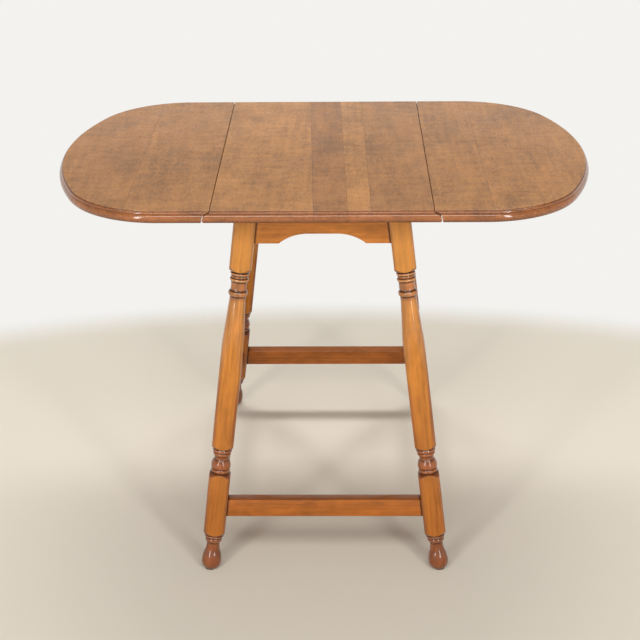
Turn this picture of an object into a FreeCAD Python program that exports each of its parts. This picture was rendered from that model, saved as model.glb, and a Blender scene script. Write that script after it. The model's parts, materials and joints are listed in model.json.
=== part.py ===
"""Pembroke table: a fixed centre top with two rounded drop leaves on four splayed, turned legs.

Millimetres, +Z up, origin on the floor under the middle of the top.  The leaves open along X.
"""
import FreeCAD
import Part
import Sketcher

import math
import os
import re

SIZES = {
    # the top
    "table_height": (660, "floor to top surface"),
    "top_thickness": (19, "thickness of every board of the top"),
    "centre_width": (349, "seam to seam across the fixed centre"),
    "top_depth": (596, "front arris to back arris"),
    "leaf_reach": (274, "seam to the arris at a leaf's end"),
    "leaf_straight": (82, "straight run of a leaf's edge next to the seam"),
    "left_leaf_seam": (136, "hinge seam to the glue line of the left leaf"),
    "right_leaf_seam": (94, "hinge seam to the glue line of the right leaf"),
    # the moulded edge, from the top down
    "edge_quirk": (1.4, "small square step under the arris"),
    "edge_ovolo": (2.9, "radius of the quarter round"),
    "edge_fillet": (1.2, "small flat between quarter round and nose"),
    "edge_nose": (3.2, "projection of the nose past the quarter round"),
    # the rule joint
    "rule_lip": (4, "square lip above the rule joint's round"),
    "rule_gap": (1.8, "play between the round and the leaf's cove"),
    "seam_gap": (1.2, "open seam between centre and leaf"),
    "pin_rise": (3, "hinge pin above the underside of the top"),
    # the legs
    "leg_square": (36, "side of the square blocks"),
    "leg_chamfer": (4.5, "bevel on the blocks' corners"),
    "leg_inset_x": (55.5, "leg axis inside the hinge seam at the height of the top"),
    "leg_inset_y": (66, "leg axis inside the front arris at the height of the top"),
    "leg_splay_x": (80, "how much further out the leg axis stands on the floor, across"),
    "leg_splay_y": (70, "how much further out the leg axis stands on the floor, front to back"),
    "lower_block_bottom": (67.8, "along the leg: top of the foot turning"),
    "lower_block_top": (180.3, "along the leg: top of the stretcher block"),
    "shaft_bottom": (229.5, "along the leg: bottom of the shaft"),
    "taper_bottom": (307, "along the leg: where the shaft starts to taper"),
    "taper_top": (498, "along the leg: end of the taper"),
    "upper_block_bottom": (543.3, "along the leg: bottom of the apron block"),
    # aprons and stretchers
    "apron_height": (56, "depth of the aprons below the top"),
    "apron_thick": (18, "thickness of the aprons"),
    "apron_setback": (6, "apron face behind the leg face"),
    "apron_tenon": (36, "height of the apron tenons"),
    "arch_span": (140, "width of the arch at the apron's lower edge"),
    "arch_flat": (48, "flat stretch at the crown of the arch"),
    "arch_rise": (16, "height of the arch"),
    "stretcher_level": (117.7, "middle of the stretchers above the floor"),
    "stretcher_height": (31, "height of the stretchers"),
    "stretcher_thick": (22, "thickness of the stretchers"),
    "stretcher_tenon": (20, "height of the stretcher tenons"),
    "tenon_thick": (7, "thickness of all tenons"),
    "tenon_depth": (12, "how far a tenon enters the leg"),
    "joint_play": (0.1, "play of a tenon in its mortise"),
    # corner blocks
    "block_height": (40, "height of the corner blocks"),
    "block_thick": (18, "corner block, from the leg's corner to its free face"),
    # hinges
    "hinge_inset": (108, "hinge middle from the front arris"),
    "hinge_width": (32, "hinge along the seam"),
    "hinge_short": (28, "flap on the centre, from the pin"),
    "hinge_long": (46, "flap on the leaf, from the pin"),
    "hinge_plate": (1.6, "thickness of the flaps"),
    "knuckle_radius": (2.9, "outside of the knuckles"),
    "hinge_pin_radius": (1.3, "radius of the hinge pins"),
    "metal_play": (0.3, "gap between metal pieces that pass each other"),
    "pin_play": (0.05, "radial play of pins in their bores"),
    # folding stays
    "stay_in": (16, "rail pivot inboard of the hinge pin"),
    "stay_down": (22, "rail pivot below the hinge pin"),
    "stay_reach": (110, "leaf pivot outboard of the hinge pin"),
    "stay_drop": (14, "leaf pivot below the hinge pin"),
    "stay_bar": (12, "width of the stay's bars"),
    "stay_plate": (2, "thickness of the stay's bars and plates"),
    "stay_pin_radius": (2.5, "radius of the stay's rivets"),
    "rivet_head_radius": (4.2, "radius of the rivet heads"),
    "rivet_head": (1.2, "thickness of the rivet heads"),
    "bracket_length": (30, "stay bracket plates, across the bars"),
    "bracket_height": (26, "stay bracket plates, along the bars"),
    # screws
    "small_head_radius": (2.8, "hinge and stay screws: head"),
    "small_head": (1.5, "hinge and stay screws: depth of the countersunk head"),
    "small_shank_radius": (1.4, "hinge and stay screws: shank"),
    "small_length": (12, "hinge and stay screws: length"),
    "block_head_radius": (4, "corner block screws: head"),
    "block_head": (2.4, "corner block screws: depth of the countersunk head"),
    "block_shank_radius": (2, "corner block screws: shank"),
    "block_length": (34, "corner block screws: length"),
    "rising_head_radius": (4, "top fixing screws: head"),
    "rising_head": (2.4, "top fixing screws: depth of the countersunk head"),
    "rising_shank_radius": (2, "top fixing screws: shank"),
    "rising_length": (50, "top fixing screws: length"),
    "screw_play": (0.1, "play of screws in their holes"),
    # cuts
    "overrun": (2, "how far a cutting shape stands past what it cuts"),
}

# Widths of the centre's four boards, from the left, at the front and at the back, as shares of the
# centre's width.
CENTRE_BOARD_SHARES = ((0.462, 0.419), (0.153, 0.163), (0.106, 0.116), (0.279, 0.302))
# Radius of a leaf's corner as a share of its rounded reach.
LEAF_CORNER_SHARE = 0.85
# Place of a hinge screw across the hinge's width, and along the free part of its flap.
HINGE_SCREW_ACROSS_SHARE = 0.28
HINGE_SCREW_ALONG_SHARE = 0.68
# Place of the stay's bracket screws across the plate.
BRACKET_SCREW_SHARE = 0.33
# Place of a top fixing screw beside the leg screw, across the corner block.
RISING_SCREW_SHARE = 0.55
# Middle part of a hinge's knuckle row.
KNUCKLE_SHARE = 0.4
# Slot of a screw: width and depth, as shares of the head's radius and depth.
SLOT_WIDTH_SHARE = 0.35
SLOT_DEPTH_SHARE = 0.5

# Turnings of a leg from the floor up.  Radii are shares of the leg's square; heights are shares of the
# stretch that the turning fills.  A third and fourth value make the way to the next point an arc:
# it swells or it hollows, with a radius that is a share of the leg's square.
FOOT_SHARES = (
    (0.261, 0.000, "swell", 0.708),
    (0.482, 0.273, "swell", 1.131),
    (0.372, 0.531, "hollow", 0.85),
    (0.292, 0.723),
    (0.300, 0.752, "swell", 0.0945),
    (0.300, 0.833),
    (0.365, 0.852, "swell", 0.113),
    (0.365, 0.955),
)
BALL_SHARES = (
    (0.410, 0.095, "swell", 0.113),
    (0.410, 0.244),
    (0.410, 0.262, "swell", 0.0545),
    (0.410, 0.323),
    (0.360, 0.333, "swell", 0.36),
    (0.345, 0.722),
    (0.300, 0.745, "swell", 0.045),
    (0.300, 0.800),
    (0.375, 0.857, "swell", 0.1056),
    (0.375, 0.983),
)
COLLAR_SHARES = (
    (0.365, 0.045, "swell", 0.188),
    (0.365, 0.265),
    (0.365, 0.275, "hollow", 0.592),
    (0.365, 0.552),
    (0.360, 0.562, "swell", 0.081),
    (0.360, 0.677),
    (0.352, 0.690),
    (0.352, 0.790),
    (0.360, 0.803, "swell", 0.121),
    (0.360, 0.960),
)
# Shoulder between a turning and a square block: radius at its foot and at its end, its rise, its arc.
SHOULDER_FOOT_SHARE = 0.42
SHOULDER_END_SHARE = 0.63
SHOULDER_RISE_SHARE = 0.32
SHOULDER_ARC_SHARE = 0.36
# Turned radius over the square blocks, past their corners, and at the end of the taper.
BLOCK_CLEAR_SHARE = 0.72
TAPER_END_SHARE = 0.36

doc = FreeCAD.newDocument("pembroke_table")
sheet = doc.addObject("Spreadsheet::Sheet", "Sizes")
for row, (alias, (size, note)) in enumerate(SIZES.items(), start=1):
    sheet.set(f"A{row}", note)
    sheet.set(f"B{row}", str(size))
    sheet.setAlias(f"B{row}", alias)
doc.recompute()

ALIAS = re.compile(r"\b(" + "|".join(SIZES) + r")\b")
X_AXIS = "vector(1; 0; 0)"
Y_AXIS = "vector(0; 1; 0)"
Z_AXIS = "vector(0; 0; 1)"
parts = []


def bound(text):
    """The expression with every size read from the sheet."""
    return ALIAS.sub(r"Sizes.\1", text)


def value(text):
    """The number that an expression gives now."""
    return float(sheet.evalExpression(bound(text)))


def bind(thing, **texts):
    """Tie properties of an object to expressions."""
    for name, text in texts.items():
        thing.setExpression(name, bound(text))
    return thing


def at(x="0", y="0", z="0", axis=Z_AXIS, angle="0"):
    """Expression of a placement."""
    return f"placement(vector({x}; {y}; {z}); rotation({axis}; {angle}))"


def piece(label, thing):
    """Name a finished sub-part."""
    thing.Label = label
    parts.append(thing)
    return thing


def box(name, size, corner, frame=None):
    """A block with its low corner at a point of a frame."""
    block = doc.addObject("Part::Box", name)
    spot = at(*corner)
    bind(block, Length=size[0], Width=size[1], Height=size[2])
    return bind(block, Placement=f"{frame} * {spot}" if frame else spot)


def rod(name, radius, length, frame):
    """A round bar along the Z of a frame."""
    return bind(doc.addObject("Part::Cylinder", name), Radius=radius, Height=length, Placement=frame)


def joined(name, *shapes):
    """Shapes fused into one."""
    fuse = doc.addObject("Part::MultiFuse", name)
    fuse.Shapes = list(shapes)
    fuse.Refine = True
    return fuse


def shared(name, *shapes):
    """What all shapes have in common."""
    common = doc.addObject("Part::MultiCommon", name)
    common.Shapes = list(shapes)
    common.Refine = True
    return common


def cut(name, base, *tools):
    """A shape less its tools."""
    result = doc.addObject("Part::Cut", name)
    result.Base = base
    result.Tool = tools[0] if len(tools) == 1 else joined(f"{name}_tools", *tools)
    result.Refine = True
    return result


def mirrored(name, source, *normal):
    """The mirror image in a plane through the origin."""
    image = doc.addObject("Part::Mirroring", name)
    image.Source = source
    image.Normal = FreeCAD.Vector(*normal)
    return image


def across(name, source):
    """The image on the other side, left for right."""
    return mirrored(name, source, 1, 0, 0)


def behind(name, source):
    """The image at the other end, back for front."""
    return mirrored(name, source, 0, 1, 0)


def grouped(name, *shapes):
    """Separate solids kept together."""
    group = doc.addObject("Part::Compound", name)
    group.Links = list(shapes)
    return group


def on_four(name, source):
    """A shape and its three images round the table, as a group."""
    right = across(f"{name}_across", source)
    return grouped(name, source, right, behind(f"{name}_behind", source), behind(f"{name}_opposite", right))


def arc_between(start, finish, radius, turn):
    """The shorter arc from start to finish, turning left or right."""
    chord = finish - start
    left = FreeCAD.Vector(-chord.y, chord.x, 0).normalize()
    height = math.sqrt(radius ** 2 - (chord.Length / 2) ** 2)
    centre = (start + finish) / 2 + left * (height if turn == "left" else -height)
    first, last = (start, finish) if turn == "left" else (finish, start)
    angles = [math.atan2(end.y - centre.y, end.x - centre.x) for end in (first, last)]
    return Part.ArcOfCircle(Part.Circle(centre, FreeCAD.Vector(0, 0, 1), radius), *angles)


def draw(body, plane, points, closed=True):
    """A sketch through points, each (x, y) or (x, y, turn, radius of the arc to the next point)."""
    sketch = body.newObject("Sketcher::SketchObject", f"{body.Name}_sketch")
    sketch.AttachmentSupport = [(origin_plane(body, plane), "")]
    sketch.MapMode = "FlatFace"
    spots = [FreeCAD.Vector(value(point[0]), value(point[1]), 0) for point in points]
    stretches = len(points) if closed else len(points) - 1
    tails = []
    heads = []
    rules = []
    for index in range(stretches):
        start = spots[index]
        finish = spots[(index + 1) % len(spots)]
        if len(points[index]) == 2:
            edge = sketch.addGeometry(Part.LineSegment(start, finish), False)
            turned_right = False
        else:
            turn, radius = points[index][2:]
            edge = sketch.addGeometry(arc_between(start, finish, value(radius), turn), False)
            rules.append((Sketcher.Constraint("Radius", edge, value(radius)), radius))
            turned_right = turn == "right"
        tails.append((edge, 2 if turned_right else 1))
        heads.append((edge, 1 if turned_right else 2))
    for index, point in enumerate(points):
        end = tails[index] if index < stretches else heads[index - 1]
        if index < stretches and (closed or index):
            rules.append((Sketcher.Constraint("Coincident", *heads[index - 1], *end), None))
        for kind, axis, text, size in (("DistanceX", -2, point[0], spots[index].x),
                                       ("DistanceY", -1, point[1], spots[index].y)):
            if text == "0":
                rules.append((Sketcher.Constraint("PointOnObject", *end, axis), None))
            else:
                rules.append((Sketcher.Constraint(kind, -1, 1, *end, size), text))
    sketch.addConstraint([rule for rule, text in rules])
    for number, (rule, text) in enumerate(rules):
        if text:
            sketch.setExpression(f"Constraints[{number}]", bound(text))
    return sketch


def origin_plane(body, role):
    """One of a body's own origin planes."""
    return next(plane for plane in body.Origin.OriginFeatures if plane.Role == role)


def padded(name, plane, points, length, frame):
    """A body made by pushing an outline out, half to each side."""
    body = doc.addObject("PartDesign::Body", name)
    sketch = draw(body, plane, points)
    pad = body.newObject("PartDesign::Pad", f"{name}_pad")
    pad.Profile = sketch
    pad.SideType = "Symmetric"
    bind(pad, Length=length)
    return bind(body, Placement=frame)


def turned(name, points, frame):
    """A body made by turning an outline, given as radius and height, about Z."""
    body = doc.addObject("PartDesign::Body", name)
    sketch = draw(body, "XZ_Plane", points)
    turning = body.newObject("PartDesign::Revolution", f"{name}_turning")
    turning.Profile = sketch
    turning.ReferenceAxis = (sketch, ["V_Axis"])
    return bind(body, Placement=frame)


def screw(name, kind, frame):
    """A slotted, countersunk wood screw that drives along the Z of a frame from its head at zero."""
    head = f"{kind}_head_radius"
    body = turned(name, [
        ("0", "0"),
        (head, "0"),
        (f"{kind}_shank_radius", f"{kind}_head"),
        (f"{kind}_shank_radius", f"{kind}_length - 2 * {kind}_shank_radius"),
        ("0", f"{kind}_length"),
    ], frame)
    slot = body.newObject("PartDesign::SubtractiveBox", f"{name}_slot")
    width = f"{head} * {SLOT_WIDTH_SHARE}"
    bind(slot, Length=f"2 * ({head} + overrun)", Width=width,
         Height=f"{kind}_head * {SLOT_DEPTH_SHARE} + overrun",
         Placement=at(f"-{head} - overrun", f"-{width} / 2", "-overrun"))
    return body


def screw_hole(name, kind, frame):
    """The room that a screw needs."""
    return turned(name, [
        ("0", "-overrun"),
        (f"{kind}_head_radius + screw_play", "-overrun"),
        (f"{kind}_head_radius + screw_play", "0"),
        (f"{kind}_shank_radius + screw_play", f"{kind}_head"),
        (f"{kind}_shank_radius + screw_play", f"{kind}_length + screw_play"),
        ("0", f"{kind}_length + screw_play"),
    ], frame)


# Levels, slopes and radii that several pieces share.
UNDERSIDE = "(table_height - top_thickness)"
SEAM = "(centre_width / 2)"
HALF_DEPTH = "(top_depth / 2)"
EDGE_OUT = "(edge_ovolo + edge_nose)"
FOOT_X = f"({SEAM} - leg_inset_x + leg_splay_x)"
FOOT_Y = f"({HALF_DEPTH} - leg_inset_y + leg_splay_y)"
SLOPE_X = "(leg_splay_x / table_height)"
SLOPE_Y = "(leg_splay_y / table_height)"
LEAN_X = f"atan({SLOPE_X})"
LEAN_Y = f"atan({SLOPE_Y})"
PIN_DEPTH = "(top_thickness - pin_rise)"
ROUND_RADIUS = f"({PIN_DEPTH} - rule_lip)"
COVE_RADIUS = f"({ROUND_RADIUS} + rule_gap)"
# Frames that lean with the legs: the front pair's plane, the right pair's plane, and the front left leg.
FRONT = at("0", f"-{FOOT_Y}", "0", X_AXIS, f"-{LEAN_Y}")
RIGHT = at(FOOT_X, "0", "0", Y_AXIS, f"-{LEAN_X}")
LEG = at(f"-{FOOT_X}", f"-{FOOT_Y}", "0", f"vector(-{SLOPE_Y}; {SLOPE_X}; 0)",
         f"atan(sqrt({SLOPE_X} ^ 2 + {SLOPE_Y} ^ 2))")
TOP = at("0", "0", "table_height")


def between_floor_and_top():
    """Everything from the floor to the underside of the top."""
    wide = f"2 * ({FOOT_X} + leg_square)"
    deep = f"2 * ({FOOT_Y} + leg_square)"
    return box("standing_room", (wide, deep, UNDERSIDE), (f"-({wide}) / 2", f"-({deep}) / 2", "0"))


def turning_points(shares, low, high):
    """Points of one stretch of turning between two heights of the leg."""
    turns = {"swell": "left", "hollow": "right"}
    for radius, height, *arc in shares:
        spot = (f"leg_square * {radius}", f"{low} + ({high} - {low}) * {height}")
        yield spot + ((turns[arc[0]], f"leg_square * {arc[1]}") if arc else ())


def shoulder_points(level, rising):
    """The rounded shoulder where a turning meets the bottom or the top of a square block."""
    foot = (f"leg_square * {SHOULDER_FOOT_SHARE}", level)
    sign = "+" if rising else "-"
    end = (f"leg_square * {SHOULDER_END_SHARE}", f"{level} {sign} leg_square * {SHOULDER_RISE_SHARE}")
    arc = ("left", f"leg_square * {SHOULDER_ARC_SHARE}")
    return [foot + arc, end] if rising else [end + arc, foot]


def leg_blank(room):
    """The front left leg before its mortises."""
    half = "leg_square / 2"
    flat = "(leg_square / 2 - leg_chamfer)"
    length = "2 * (table_height + leg_square)"
    bar = padded("leg_bar", "XY_Plane", [
        (half, f"-{flat}"), (half, flat), (flat, half), (f"-{flat}", half),
        (f"-({half})", flat), (f"-({half})", f"-{flat}"), (f"-{flat}", f"-({half})"), (flat, f"-({half})"),
    ], length, LEG)
    foot_end = "-leg_square / 2"
    top_end = "table_height + leg_square"
    clear = f"leg_square * {BLOCK_CLEAR_SHARE}"
    turning = turned("leg_turning", [
        ("0", foot_end),
        (f"leg_square * {FOOT_SHARES[0][0]}", foot_end),
        *turning_points(FOOT_SHARES, "0", "lower_block_bottom"),
        *shoulder_points("lower_block_bottom", True),
        *shoulder_points("lower_block_top", False),
        *turning_points(BALL_SHARES, "lower_block_top", "shaft_bottom"),
        *shoulder_points("shaft_bottom", True),
        (clear, "taper_bottom"),
        (f"leg_square * {TAPER_END_SHARE}", "taper_top"),
        *turning_points(COLLAR_SHARES, "taper_top", "upper_block_bottom"),
        *shoulder_points("upper_block_bottom", True),
        (clear, top_end),
        ("0", top_end),
    ], LEG)
    return shared("leg_blank", bar, turning, room)


def leg_axis(slope, foot, level):
    """Distance of a leg's axis from the middle at a level."""
    return f"({foot} - {slope} * {level})"


class Rail:
    """A front or right rail between two legs, with tenons: a bar, its tenon bar and the mortise room."""

    def __init__(self, name, side, level, tall, thick, out, tenon):
        self.name = name
        self.side = side
        crosswise = side == "front"
        self.frame = FRONT if crosswise else RIGHT
        slope, foot, lean = (SLOPE_X, FOOT_X, LEAN_Y) if crosswise else (SLOPE_Y, FOOT_Y, LEAN_X)
        self.half = leg_axis(slope, foot, level)
        self.middle = f"({level} / cos({lean}))"
        self.tall = tall
        self.thick = thick
        self.out = out
        self.tenon = tenon

    def bar(self, name, half, near, far, low, high):
        """A block of the rail's frame: half length, outer and inner face, lower and upper edge."""
        length = f"2 * ({half})"
        thick = f"({far}) - ({near})"
        tall = f"({high}) - ({low})"
        if self.side == "front":
            return box(name, (length, thick, tall), (f"-({half})", near, low), self.frame)
        return box(name, (thick, length, tall), (f"-({far})", f"-({half})", low), self.frame)

    def body(self, rise):
        """The rail's full section, reaching to the legs' axes."""
        return self.bar(f"{self.name}_bar", self.half, f"-({self.out})", f"{self.thick} - ({self.out})",
                        f"{self.middle} - {self.tall} / 2", f"{self.middle} + {self.tall} / 2 + {rise}")

    def tenons(self, name, play):
        """The bar that makes both tenons, or with play their mortises."""
        half = f"{self.half} - leg_square / 2 + tenon_depth + {play}"
        heart = f"({self.thick} / 2 - ({self.out}))"
        reach = f"({self.tenon} / 2 + {play})"
        side = f"(tenon_thick / 2 + {play})"
        return self.bar(f"{self.name}_{name}", half, f"{heart} - {side}", f"{heart} + {side}",
                        f"{self.middle} - {reach}", f"{self.middle} + {reach}")


def arch():
    """The shape cut from the lower edge of the front apron, in the front legs' plane."""
    half = "(arch_span / 2)"
    flat = "(arch_flat / 2)"
    run = f"({half} - {flat})"
    radius = f"(({run} ^ 2 + arch_rise ^ 2) / (2 * arch_rise))"
    edge = f"({UNDERSIDE} - apron_height) / cos({LEAN_Y})"
    return padded("apron_arch", "XZ_Plane", [
        (f"-{half}", "-overrun"),
        (half, "-overrun"),
        (half, "0", "left", radius),
        (flat, "arch_rise"),
        (f"-{flat}", "arch_rise", "left", radius),
        (f"-{half}", "0"),
    ], "4 * apron_thick", f"{FRONT} * {at(z=edge)}")


def corner_wood(rails, blank):
    """Front left corner block between the aprons, with its two screws and the holes for them."""
    level = f"({UNDERSIDE} - block_height / 2)"
    corner = at(f"-{leg_axis(SLOPE_X, FOOT_X, level)}", f"-{leg_axis(SLOPE_Y, FOOT_Y, level)}",
                f"{UNDERSIDE} - block_height", Z_AXIS, "45")
    nose = "(leg_square - leg_chamfer) / sqrt(2)"
    free_face = f"({nose} + block_thick)"
    stock = box("corner_block_stock", (free_face, f"4 * {free_face}", "block_height"),
                ("0", f"-2 * {free_face}", "0"), corner)
    walls = []
    for rail in rails:
        inner = f"{rail.thick} - ({rail.out})"
        walls.append(rail.bar(f"{rail.name}_wall", f"{rail.half} + 4 * leg_square",
                              f"{inner} - 6 * leg_square", inner,
                              f"{rail.middle} - {rail.tall}", f"{rail.middle} + {rail.tall}"))
    walls[1] = across("apron_left_wall", walls[1])
    driven = f"{corner} * {at(free_face, '0', 'block_height / 2', Y_AXIS, '-90')}"
    rising = f"{corner} * {at(f'{nose} + block_thick / 2', f'block_thick * {RISING_SCREW_SHARE}')}"
    leg_hole = screw_hole("leg_screw_hole", "block", driven)
    rising_hole = screw_hole("rising_screw_hole", "rising", rising)
    wood = cut("corner_block", stock, *walls, blank, leg_hole, rising_hole)
    screws = screw("leg_screw", "block", driven), screw("rising_screw", "rising", rising)
    return wood, screws, leg_hole, rising_hole


def underframe():
    """Legs, aprons, stretchers and corner blocks; gives back what the top and the stays need."""
    room = between_floor_and_top()
    blank = leg_blank(room)
    blanks = {"front left": blank, "front right": across("leg_blank_right", blank)}
    blanks["back right"] = behind("leg_blank_back", blanks["front right"])
    out = "leg_square / 2 - apron_setback"
    apron_level = f"({UNDERSIDE} - apron_height / 2)"
    centred = "stretcher_thick / 2"
    rails = {}
    for side in ("front", "right"):
        for kind, level, outer in (("apron", apron_level, out), ("stretcher", "stretcher_level", centred)):
            name = f"{kind}_{side}"
            rails[name] = Rail(name, side, level, f"{kind}_height", f"{kind}_thick", outer, f"{kind}_tenon")
    wood, screws, leg_hole, rising_hole = corner_wood([rails["apron_front"], rails["apron_right"]], blank)
    mortises = []
    bars = {}
    for name, rail in rails.items():
        ends = ("front left", "front right") if rail.side == "front" else ("front right", "back right")
        bars[name] = rail.body("overrun" if "apron" in name else "0")
        level = shared(f"{name}_level", bars[name], room)
        trimmed = cut(f"{name}_trimmed", level, *[blanks[end] for end in ends])
        whole = joined(f"{name}_whole", trimmed, rail.tenons("tenons", "0"))
        if name == "apron_front":
            whole = cut("apron_arched", whole, arch())
        if name == "apron_right":
            whole = cut("apron_drilled", whole, *stay_rail_holes())
        piece(name, whole)
        room_for_tenons = rail.tenons("mortises", "joint_play")
        if rail.side == "front":
            piece(name.replace("front", "back"), behind(f"{name}_twin", whole))
            mortises.append(room_for_tenons)
        else:
            piece(name.replace("right", "left"), across(f"{name}_twin", whole))
            mortises.append(across(f"{name}_mortises_left", room_for_tenons))
    on_each_corner("leg", cut("leg_piece", blank, *mortises, leg_hole))
    on_each_corner("corner_block", wood)
    piece("corner_block_screws", on_four("corner_block_screw_set", screws[0]))
    piece("top_fixing_screws", on_four("top_fixing_screw_set", screws[1]))
    return on_four("rising_screw_rooms", rising_hole), bars["apron_right"]


def on_each_corner(label, front_left):
    """Four pieces, one at each corner, from the front left one."""
    piece(f"{label}_front_left", front_left)
    right = piece(f"{label}_front_right", across(f"{label}_across", front_left))
    piece(f"{label}_back_left", behind(f"{label}_behind", front_left))
    piece(f"{label}_back_right", behind(f"{label}_opposite", right))


# Depths of the moulded edge's steps below the top, and the radius of its nose.
OVOLO_FOOT = "(edge_quirk + edge_ovolo)"
NOSE_TOP = "(edge_quirk + edge_ovolo + edge_fillet)"
NOSE_HALF = f"((top_thickness - {NOSE_TOP}) / 2)"
NOSE_RADIUS = f"(({NOSE_HALF} ^ 2 + edge_nose ^ 2) / (2 * edge_nose))"


def centre_panel():
    """The whole fixed centre: rule joint rounds at its sides, moulded edges at front and back."""
    side = f"({SEAM} + {ROUND_RADIUS})"
    heel = f"({side} - rule_gap)"
    low = "-top_thickness"
    rounds = padded("centre_rounds", "XZ_Plane", [
        (f"-{heel}", low),
        (heel, low),
        (side, f"-{PIN_DEPTH}", "left", ROUND_RADIUS),
        (SEAM, "-rule_lip"),
        (SEAM, "0"),
        (f"-{SEAM}", "0"),
        (f"-{SEAM}", "-rule_lip", "left", ROUND_RADIUS),
        (f"-{side}", f"-{PIN_DEPTH}"),
    ], f"2 * ({HALF_DEPTH} + {EDGE_OUT} + overrun)", TOP)
    foot = f"({HALF_DEPTH} + edge_ovolo)"
    edges = padded("centre_edges", "YZ_Plane", [
        (f"-{foot}", low),
        (foot, low, "left", NOSE_RADIUS),
        (foot, f"-{NOSE_TOP}"),
        (foot, f"-{OVOLO_FOOT}", "left", "edge_ovolo"),
        (HALF_DEPTH, "-edge_quirk"),
        (HALF_DEPTH, "0"),
        (f"-{HALF_DEPTH}", "0"),
        (f"-{HALF_DEPTH}", "-edge_quirk", "left", "edge_ovolo"),
        (f"-{foot}", f"-{OVOLO_FOOT}"),
        (f"-{foot}", f"-{NOSE_TOP}", "left", NOSE_RADIUS),
    ], f"2 * ({side} + overrun)", TOP)
    return shared("centre_panel", rounds, edges)


def leaf_outline(out):
    """Plan of a leaf from its seam, as large as the arris outline and a margin all round."""
    rounded = "(leaf_reach - leaf_straight)"
    corner = f"({rounded} * {LEAF_CORNER_SHARE})"
    beside = f"({HALF_DEPTH} - {corner})"
    end = f"(({beside} ^ 2 + {rounded} ^ 2 - {corner} ^ 2) / (2 * ({rounded} - {corner})))"
    sine = f"({beside} / ({end} - {corner}))"
    cosine = f"((leaf_straight - leaf_reach + {end}) / ({end} - {corner}))"
    meet_x = f"(leaf_reach - {end} + ({end} + {out}) * {cosine})"
    meet_y = f"(({end} + {out}) * {sine})"
    side = f"({HALF_DEPTH} + {out})"
    return [
        ("0", f"-{side}"),
        ("leaf_straight", f"-{side}", "left", f"{corner} + {out}"),
        (meet_x, f"-{meet_y}", "left", f"{end} + {out}"),
        (meet_x, meet_y, "left", f"{corner} + {out}"),
        ("leaf_straight", side),
        ("0", side),
    ]


def moulded_leaf():
    """The right leaf before its rule joint: its plan, with the edge moulding run round it."""
    body = doc.addObject("PartDesign::Body", "leaf_plan")
    blank = body.newObject("PartDesign::Pad", "leaf_plan_pad")
    blank.Profile = draw(body, "XY_Plane", leaf_outline(f"({EDGE_OUT} + overrun)"))
    blank.Reversed = True
    bind(blank, Length="top_thickness")
    path = draw(body, "XY_Plane", leaf_outline("0"), closed=False)
    low = "-top_thickness"
    foot = f"-({HALF_DEPTH} + edge_ovolo)"
    outside = f"-({HALF_DEPTH} + {EDGE_OUT} + 2 * overrun)"
    waste = draw(body, "YZ_Plane", [
        (f"-{HALF_DEPTH}", "overrun"),
        (f"-{HALF_DEPTH}", "-edge_quirk", "left", "edge_ovolo"),
        (foot, f"-{OVOLO_FOOT}"),
        (foot, f"-{NOSE_TOP}", "left", NOSE_RADIUS),
        (foot, low),
        (foot, f"{low} - overrun"),
        (outside, f"{low} - overrun"),
        (outside, "overrun"),
    ])
    doc.recompute()
    before = blank.Shape.Volume
    moulding = body.newObject("PartDesign::SubtractivePipe", "leaf_moulding")
    moulding.Profile = waste
    moulding.Spine = (path, [f"Edge{number + 1}" for number in range(path.GeometryCount)])
    bind(body, Placement=at(SEAM, "0", "table_height"))
    doc.recompute()
    if not moulding.Shape.Volume < before:
        raise RuntimeError("the edge moulding took nothing off the leaf")
    return body


def right_leaf():
    """The whole right leaf: plan, moulding and the cove of the rule joint."""
    far = f"(leaf_reach + {EDGE_OUT} + overrun)"
    low = "-top_thickness"
    cove = padded("leaf_cove", "XZ_Plane", [
        (COVE_RADIUS, low),
        (far, low),
        (far, "0"),
        ("seam_gap", "0"),
        ("seam_gap", f"sqrt({COVE_RADIUS} ^ 2 - seam_gap ^ 2) - {PIN_DEPTH}", "right", COVE_RADIUS),
        (COVE_RADIUS, f"-{PIN_DEPTH}"),
    ], f"2 * ({HALF_DEPTH} + {EDGE_OUT} + 2 * overrun)", at(SEAM, "0", "table_height"))
    return shared("leaf_panel", moulded_leaf(), cove)


# Frame of the right front hinge, on its pin, and of the pin's foot on the underside.
HINGE = at(SEAM, f"hinge_inset - {HALF_DEPTH}", f"{UNDERSIDE} + pin_rise")
ALONG_Y = at(axis=X_AXIS, angle="-90")


def hinge_screw_frames(flap, sign):
    """Frames of a flap's two screws, heads flush with the underside."""
    free = f"(knuckle_radius + ({flap} - knuckle_radius) * {HINGE_SCREW_ALONG_SHARE})"
    side = f"(hinge_width * {HINGE_SCREW_ACROSS_SHARE})"
    return [f"{HINGE} * {at(f'{sign}{free}', f'{way}{side}', '-pin_rise')}" for way in ("-", "")]


def hinge_flap(name, flap, sign, knuckles, rooms, holes):
    """One flap: a plate flush with the underside, its knuckles and bore, cleared for the other's."""
    corner = "0" if sign == "" else f"-{flap}"
    plate = box(f"{name}_plate", (flap, "hinge_width", "hinge_plate"),
                (corner, "-hinge_width / 2", "-pin_rise"), HINGE)
    barrels = []
    for number, (low, high) in enumerate(knuckles):
        spot = f"{HINGE} * {at('0', low)} * {ALONG_Y}"
        barrels.append(rod(f"{name}_knuckle_{number}", "knuckle_radius", f"({high}) - ({low})", spot))
    clears = []
    wide = "(knuckle_radius + metal_play)"
    for number, (low, high) in enumerate(rooms):
        clears.append(box(f"{name}_room_{number}", (f"2 * {wide}", f"({high}) - ({low})", f"2 * {wide}"),
                          (f"-{wide}", low, f"-{wide}"), HINGE))
    bore = rod(f"{name}_bore", "hinge_pin_radius + pin_play", "hinge_width + 2 * overrun",
               f"{HINGE} * {at('0', '-hinge_width / 2 - overrun')} * {ALONG_Y}")
    cleared = cut(f"{name}_cleared", plate, *clears)
    return cut(name, joined(f"{name}_whole", cleared, *barrels), bore, *holes)


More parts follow.
